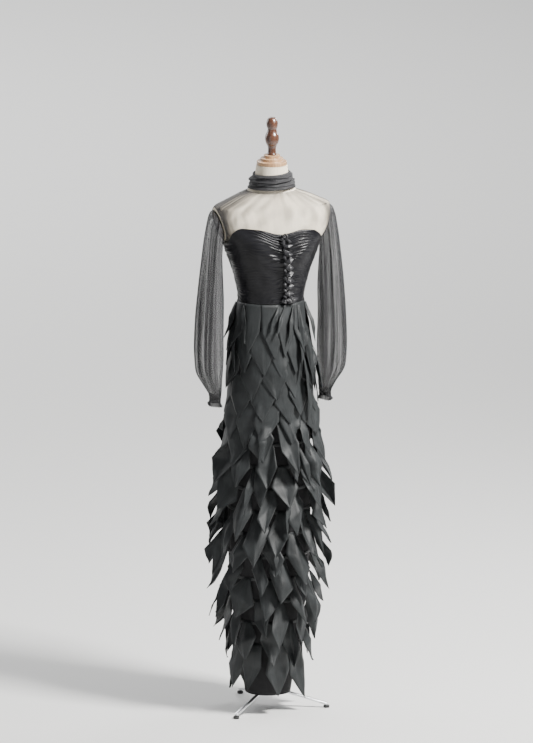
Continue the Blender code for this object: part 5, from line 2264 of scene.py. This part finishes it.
SLIVERS = tuple(Sliver(*row) for row in (
    (1, -2, 24, 0.0085, 0.085, 0.012, 30), (1, 9, 28, 0.0070, 0.095, 0.014, 35),
    (1, 26, 20, 0.0120, 0.110, 0.015, 25), (1, 38, 4, 0.0130, 0.150, 0.018, -20),
    (2, 33, 8, 0.0140, 0.150, 0.020, 30), (2, 44, -4, 0.0110, 0.170, 0.024, -25),
    (3, 38, 3, 0.0130, 0.170, 0.025, 25), (3, 50, -6, 0.0120, 0.160, 0.028, 40),
    (2, 55, 6, 0.0120, 0.160, 0.018, -35), (4, 45, 5, 0.0140, 0.150, 0.028, 20),
    (1, -66, -14, 0.0120, 0.110, 0.010, -35), (2, -78, -8, 0.0110, 0.130, 0.018, -30),
    (1, 128, 16, 0.0100, 0.110, 0.014, 30), (2, 150, -10, 0.0120, 0.150, 0.018, 25),
    (1, 205, -20, 0.0100, 0.100, 0.014, -30), (3, 222, 8, 0.0130, 0.160, 0.024, 35),
    (2, 246, 12, 0.0110, 0.140, 0.018, -25), (6, -20, 12, 0.0150, 0.130, 0.045, 50),
    (7, 22, -10, 0.0140, 0.140, 0.052, -55), (8, -38, 8, 0.0150, 0.140, 0.058, 60),
    (9, 8, 14, 0.0160, 0.140, 0.060, 50), (10, 40, -12, 0.0150, 0.150, 0.058, -50),
    (11, -12, -8, 0.0150, 0.150, 0.060, 60), (12, 30, 10, 0.0150, 0.140, 0.056, -60),
    (1, -104, -20, 0.0170, 0.105, 0.017, 15), (2, -92, -14, 0.0180, 0.115, 0.015, -20),
    (1, 66, 12, 0.0150, 0.115, 0.026, -15), (3, 72, 8, 0.0180, 0.125, 0.036, 20),
    (7, 170, 10, 0.0150, 0.140, 0.052, 50), (9, 200, -12, 0.0150, 0.140, 0.058, -55),
    (11, 150, 8, 0.0160, 0.150, 0.058, 60), (13, 190, 10, 0.0150, 0.140, 0.050, -50),
))


@dataclass
class PetalTiers:
    """Sixteen tapes round the skirt with stiff diamond petals hanging from them."""

    wardrobe: Wardrobe
    tree: ShapeTree
    first: float = 1.2860
    last: float = 0.2150
    count: int = 16
    tape_height: float = 0.010
    widest: float = 0.0860
    corner: float = 0.46
    sewn_above: float = 0.0085
    first_sewn_above: float = 0.0130
    sewn_out: float = 0.0010
    flare_power: float = 1.15
    least_width: float = 0.74
    widening: float = 1.46
    hem_growth: float = 0.24
    hem_span: float = 0.05
    wall: float = 0.0009
    laid_flat: float = 0.58
    loose_from: float = 0.024
    loose_span: float = 0.030
    solid_seed: int = 200
    looks_seed: int = 9000
    tape_points: int = 160
    girth_points: int = 181
    laid: LaidCloth = field(default_factory=lambda: LaidCloth(SKIRT))

    def shape(self, number: int) -> TierShape:
        """Sizes of one tier's petals.

        Args:
            number: the tier, counted from the waist.

        Returns:
            The sizes.
        """
        height = self.first - (self.first - self.last) / (self.count - 1) * (number - 1)
        values = SmoothTable(TIER_SHAPES).at(np.array(height))
        petals, *sizes = (float(value) for value in values)
        return TierShape(height, round(petals), *sizes)

    def shared_angles(self, height: float, count: int, phase: float) -> tuple[list[float], float]:
        """Angles that share the skirt's girth evenly, and the girth.

        Args:
            height: the height.
            count: how many angles.
            phase: where the first one is, in steps.

        Returns:
            The angles and the girth.
        """
        marks = np.linspace(0, TAU, self.girth_points)
        spots = SKIRT.point(marks, np.full(self.girth_points, height))
        lengths = np.concatenate([[0.0], np.cumsum(np.linalg.norm(np.diff(spots, axis=0), axis=1))])
        girth = float(lengths[-1])
        angles = []
        for k in range(count):
            wanted = girth * (k + phase) / count
            rounds = math.floor(wanted / girth)
            angles.append(float(np.interp(wanted - rounds * girth, lengths, marks)) + rounds * TAU)
        return angles, girth

    def bend(self, angle: float, height: float) -> float:
        """Half of the skirt's curvature round its girth at one place.

        Args:
            angle: angle from the centre front.
            height: height above the floor.

        Returns:
            Half of one over the radius, in metres.
        """
        marks, heights = np.array([angle - 0.05, angle + 0.05]), np.full(2, height)
        spots, facing = SKIRT.point(marks, heights), SKIRT.normal(marks, heights)
        return float(np.linalg.norm(facing[1] - facing[0])
                     / np.linalg.norm(spots[1] - spots[0])) / 2

    @staticmethod
    def sides_of(angle: float, height: float) -> tuple[Vector, Vector]:
        """Level directions away from the skirt and along its girth.

        Args:
            angle: angle from the centre front.
            height: height above the floor.

        Returns:
            Both as unit vectors.
        """
        facing = SKIRT.normal(np.array(angle), np.array(height))
        outward = Vector((facing[0], facing[1], 0)).normalized()
        return outward, Vector((0, 0, 1)).cross(outward)

    def leaf(self, shape: TierShape, girth: float, rest: float, angle: float,
             edges: tuple[float, float], chance: random.Random, looks: random.Random) -> Leaf:
        """One petal, on the solid petal's own corners.

        Args:
            shape: the tier's sizes.
            girth: the skirt's girth there.
            rest: the tape's distance from the skirt.
            angle: the petal's middle.
            edges: angles of the ends of its sewn edge.
            chance: source of the solid's unevenness.
            looks: source of the creases.

        Returns:
            The leaf.
        """
        outward, sideways = self.sides_of(angle, shape.height)
        room = girth * (1 + shape.flare * self.corner * TAU / girth) / shape.petals
        half = min(self.widest, 0.90 * room) / 2 * chance.uniform(self.least_width, 1.0)
        turn = shape.turn * chance.uniform(-1.0, 1.0)
        fold = shape.fold * chance.uniform(-0.5, 1.0)
        flare = shape.flare * chance.uniform(0.84, 1.10)
        drop = shape.drop * chance.uniform(0.88, 1.12)
        swing = half * chance.uniform(-0.32, 0.32)

        def place(share: float, across: float, reach: float) -> Vector:
            """A corner of the petal.

            Args:
                share: share of the drop.
                across: -1, 0 or 1 for its left, middle or right.
                reach: distance from the middle to a side.

            Returns:
                The corner.
            """
            low = np.array(shape.height - drop * share)
            out = rest + flare * share ** self.flare_power + across * reach * math.sin(turn)
            middle = Vector(SKIRT.base(np.array(angle), low))
            return (middle + outward * out
                    + sideways * (across * reach * math.cos(turn) + swing * share))

        top_tier = shape.height == self.first
        root = shape.height + (self.first_sewn_above if top_tier else self.sewn_above)
        ends = [Vector(SKIRT.point(np.array(edge), np.array(root), rest + self.sewn_out))
                for edge in edges]
        left, right = place(self.corner, -1, half), place(self.corner, 1, half)
        loose = min(1.0, max(0.0, (shape.flare - self.loose_from) / self.loose_span)) ** 1.3
        top = (ends[0] + ends[1]) / 2
        tilt = Matrix.Rotation(looks.uniform(-0.24, 0.24) * (0.75 + 0.25 * loose), 3, outward)
        more = looks.triangular(-0.85, 0.85) * loose
        spin = Matrix.Rotation(more, 3, Vector((0, 0, 1)))
        stretch = 1 + (0.6 + 0.4 * loose) * looks.uniform(-0.16, 0.14)
        stretch += self.hem_growth * bump_over(shape.height, self.last, self.hem_span)
        middle = top + tilt @ ((left + right) / 2 - top) * stretch
        middle += outward * half * 0.30 * abs(math.sin(more))
        tip = top + tilt @ (place(1.0, 0, 0) - top) * stretch
        flat = outward * (1 - loose)
        middle -= flat * flare * 0.41 * self.laid_flat
        tip -= flat * flare * self.laid_flat
        widen = self.widening + loose * looks.uniform(-0.62, -0.06)
        facing_out = spin @ (outward * math.cos(turn) - sideways * math.sin(turn))
        return Leaf(
            top=top, top_half=(ends[1] - ends[0]) / 2 * (2.15 - 1.55 * loose),
            middle=middle, middle_half=spin @ (tilt @ ((right - left) / 2 * widen)),
            tip=tip, outward=facing_out,
            fold=fold * (0.2 + 0.4 * loose)
            + looks.choice((-1, 1)) * looks.uniform(0.002, 0.017) * loose,
            roll=looks.uniform(-1.1, 1.1) * (0.06 + loose), twist=looks.uniform(-1.0, 1.0) * loose,
            curl=looks.uniform(-0.9, 1.0) * loose, sway=looks.uniform(0.001, 0.006) * (0.2 + loose),
            phase=looks.uniform(0, 50), skew=looks.uniform(-0.20, 0.20) * loose,
            wrap=self.bend(angle, shape.height) * (1 - loose),
            facet=0.0019 + looks.uniform(0.0031, 0.0081) * loose)

    def sliver(self, cut: Sliver, height: float, rest: float, looks: random.Random) -> Leaf:
        """A narrow petal, placed one by one.

        Args:
            cut: its sizes.
            height: height of its tape.
            rest: the tape's distance from the skirt.
            looks: source of its small creases.

        Returns:
            The leaf.
        """
        angle = np.array(math.radians(cut.angle))
        outward, sideways = self.sides_of(angle, height)
        lean = Matrix.Rotation(math.radians(-cut.lean), 3, outward)
        spin = Matrix.Rotation(math.radians(cut.spin), 3, Vector((0, 0, 1)))
        top = Vector(SKIRT.point(angle, np.array(height + 0.006), rest + 0.0030))
        low = np.array(height - cut.length)
        hang = Vector(SKIRT.base(angle, low)) + outward * cut.stand - top
        middle = top + lean @ (hang * 0.44) + outward * (0.2 * cut.stand)
        return Leaf(
            top=top, top_half=spin @ sideways * (cut.half * 0.35), middle=middle,
            middle_half=spin @ (lean @ sideways) * cut.half, tip=top + lean @ hang,
            outward=spin @ outward, fold=cut.half * looks.uniform(0.35, 0.8),
            roll=looks.uniform(-0.5, 0.5), twist=looks.uniform(-0.6, 0.6),
            curl=looks.uniform(-0.4, 1.2), sway=0.0015, phase=looks.uniform(0, 50),
            facet=0.0040)

    def tier(self, number: int) -> None:
        """One tape and its petals.

        Args:
            number: the tier, counted from the waist.
        """
        shape = self.shape(number)
        chance = random.Random(self.solid_seed + number)
        looks = random.Random(self.looks_seed + number)
        phase = 0.5 * (number % 2)
        edges, girth = self.shared_angles(shape.height, 2 * shape.petals, 2 * phase - 0.5)
        middles, _ = self.shared_angles(shape.height, shape.petals, phase)
        rest = SEAM_GAP + 1.1 * math.pi * girth / (4 * len(edges) ** 2)
        bed = LeafBed(f"petals_{number:02d}")
        for petal, angle in enumerate(middles):
            ends = (edges[2 * petal], edges[2 * petal + 1])
            bed.leaves.append(self.leaf(shape, girth, rest, angle, ends, chance, looks))
        bed.leaves += [self.sliver(cut, shape.height, rest, looks)
                       for cut in SLIVERS if cut.tier == number]
        angles = ring_of(self.tape_points)[None, :]
        heights = shape.height + np.linspace(0, self.tape_height, 4)[:, None]
        band = grid_mesh("tape", SKIRT.point(angles, heights, SEAM_GAP), True)
        piece = bed.build(self.tree, self.wardrobe.taffeta, band)
        self.laid.lift(piece.data)
        self.laid.lay(piece.data, self.wall)
        area = cut_area(piece.data)
        thicken(piece, self.wall, 1)
        seat(piece, "charcoal_taffeta", f"petal_tier_{number:02d}")
        long = max(leaf.drop for leaf in bed.leaves) + self.tape_height

    def build(self) -> None:
        """Build every tier, from the hem up, over the under-skirt."""
        for half in ("front", "back"):
            self.laid.lay(bpy.data.objects[f"under_skirt_{half}"].data)
        for number in range(self.count, 0, -1):
            self.tier(number)


# Sewn seams

@dataclass
class SeamStitches:
    """Rows of small stitches where the pieces are sewn together."""

    wardrobe: Wardrobe
    tree: ShapeTree
    points: int = 720
    below_top: float = 0.0030
    above_waist: float = 0.0040
    top_rest: float = 0.0055
    waist_rest: float = 0.0052

    def row(self, name: str, spots: Array) -> None:
        """One row of stitches right round the body.

        Args:
            name: the piece's name.
            spots: points of the line about the stand's axis.
        """
        edges = [(k, (k + 1) % len(spots)) for k in range(len(spots))]
        mesh = bpy.data.meshes.new(name)
        mesh.from_pydata((spots + stand_axis()).tolist(), edges, [])
        piece = make_object(name, mesh, self.wardrobe.thread)
        self.tree.apply(piece, self.wardrobe.thread)
        piece.data.shade_smooth()
        seat(piece, "black_satin")

    def build(self) -> None:
        """Stitch the bodice's top edge and its waist."""
        angles = np.linspace(0, TAU, self.points + 1)[:-1]
        top = bodice_top(angles) - self.below_top
        waist = np.full_like(angles, WAIST + self.above_waist)
        self.row("top_edge_stitches", TORSO.point(angles, top, self.top_rest))
        self.row("waist_stitches", TORSO.point(angles, waist, self.waist_rest))


# Studio

@dataclass
class Studio:
    """Floor, camera and lights."""

    camera_turn: float = math.radians(-18)
    camera_rise: float = math.radians(13)
    distance: float = 40.0
    lens: float = 626.8
    aim_height: float = 1.0690
    aim_aside: float = -0.0115
    roll: float = math.radians(0.44)
    sensor: float = 36
    view_end: float = 100
    light_aim: float = 0.95
    floor_reach: float = 20.0
    sky: Colour = (0.93, 0.94, 0.96)
    sky_strength: float = 0.28

    def outlook(self) -> Vector:
        """Direction from the object to the camera."""
        turn, rise = self.camera_turn, self.camera_rise
        return Vector((math.sin(turn) * math.cos(rise), -math.cos(turn) * math.cos(rise),
                       math.sin(rise)))

    def camera(self) -> None:
        """Camera at the photograph's angle."""
        aside = Vector((math.cos(self.camera_turn), math.sin(self.camera_turn), 0))
        target = Vector(stand_axis()) + Vector((0, 0, self.aim_height)) + aside * self.aim_aside
        lens = bpy.data.cameras.new("studio_camera")
        lens.sensor_fit = "AUTO"
        lens.sensor_width = self.sensor
        lens.lens = self.lens
        lens.clip_end = self.view_end
        eye = linked("studio_camera", lens)
        eye.location = target + self.outlook() * self.distance
        aim = self.outlook().to_track_quat("Z", "Y")
        eye.rotation_euler = (aim.to_matrix() @ Matrix.Rotation(self.roll, 3, "Z")).to_euler()
        bpy.context.scene.camera = eye

    def light(self, name: str, place: tuple[float, float, float], size: float, power: float,
              tint: Colour = (1.0, 1.0, 1.0), aim_down: bool = False) -> None:
        """One soft square light aimed at the dress.

        Args:
            name: its name.
            place: where it hangs.
            size: its side in metres.
            power: its power in watts.
            tint: its colour.
            aim_down: whether it lights the floor under it, and not the dress.
        """
        lamp = bpy.data.lights.new(name, "AREA")
        lamp.size = size
        lamp.energy = power
        lamp.color = tint
        holder = linked(name, lamp)
        holder.location = place
        aim = Vector((0, 0, 1)) if aim_down else Vector(place) - Vector((0, 0, self.light_aim))
        holder.rotation_euler = aim.to_track_quat("Z", "Y").to_euler()

    def floor(self) -> None:
        """Plain pale floor."""
        mesh = bpy.data.meshes.new("studio_floor")
        corners = [(x * self.floor_reach, y * self.floor_reach, 0.0)
                   for x, y in ((-1, -1), (1, -1), (1, 1), (-1, 1))]
        mesh.from_pydata(corners, [], [(0, 1, 2, 3)])
        make_object("studio_floor", mesh, PlainPaper("studio_paper").build())

    def build(self) -> None:
        """Set up the whole studio."""
        self.camera()
        self.floor()
        self.light("key_light", (1.7, -1.9, 3.9), 0.8, 520.0, (1.0, 0.985, 0.96))
        self.light("fill_light", (-2.8, -2.2, 1.6), 2.4, 14.0, (0.96, 0.98, 1.0))
        self.light("rim_light", (2.4, 1.6, 2.6), 1.2, 60.0)
        self.light("back_light", (-2.2, 2.4, 2.4), 1.6, 40.0)
        self.light("backdrop_light", (0.0, 9.0, 6.0), 7.0, 900.0, aim_down=True)
        world = bpy.data.worlds.new("studio_world")
        world.use_nodes = True
        sky = world.node_tree.nodes["Background"]
        sky.inputs["Color"].default_value = (*self.sky, 1.0)
        sky.inputs["Strength"].default_value = self.sky_strength
        bpy.context.scene.world = world


def main() -> None:
    """Build the dress on its form."""
    logging.basicConfig(level=logging.INFO, format="%(name)s: %(message)s")
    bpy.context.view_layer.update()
    Studio().build()
    wardrobe = Wardrobe()
    leaves = cloth_leaf_tree()
    DressForm(wardrobe).build()
    TripodStand(wardrobe).build()
    Bodice(wardrobe).build()
    RuffleStrip(wardrobe, leaves).build()
    Yoke(wardrobe).build()
    Collar(wardrobe).build()
    for side in (1, -1):
        Sleeve(wardrobe, side).build()
    Underskirt(wardrobe).build()
    PetalTiers(wardrobe, leaves).build()
    SeamStitches(wardrobe, stitch_tree()).build()


if __name__ == "__main__":
    main()
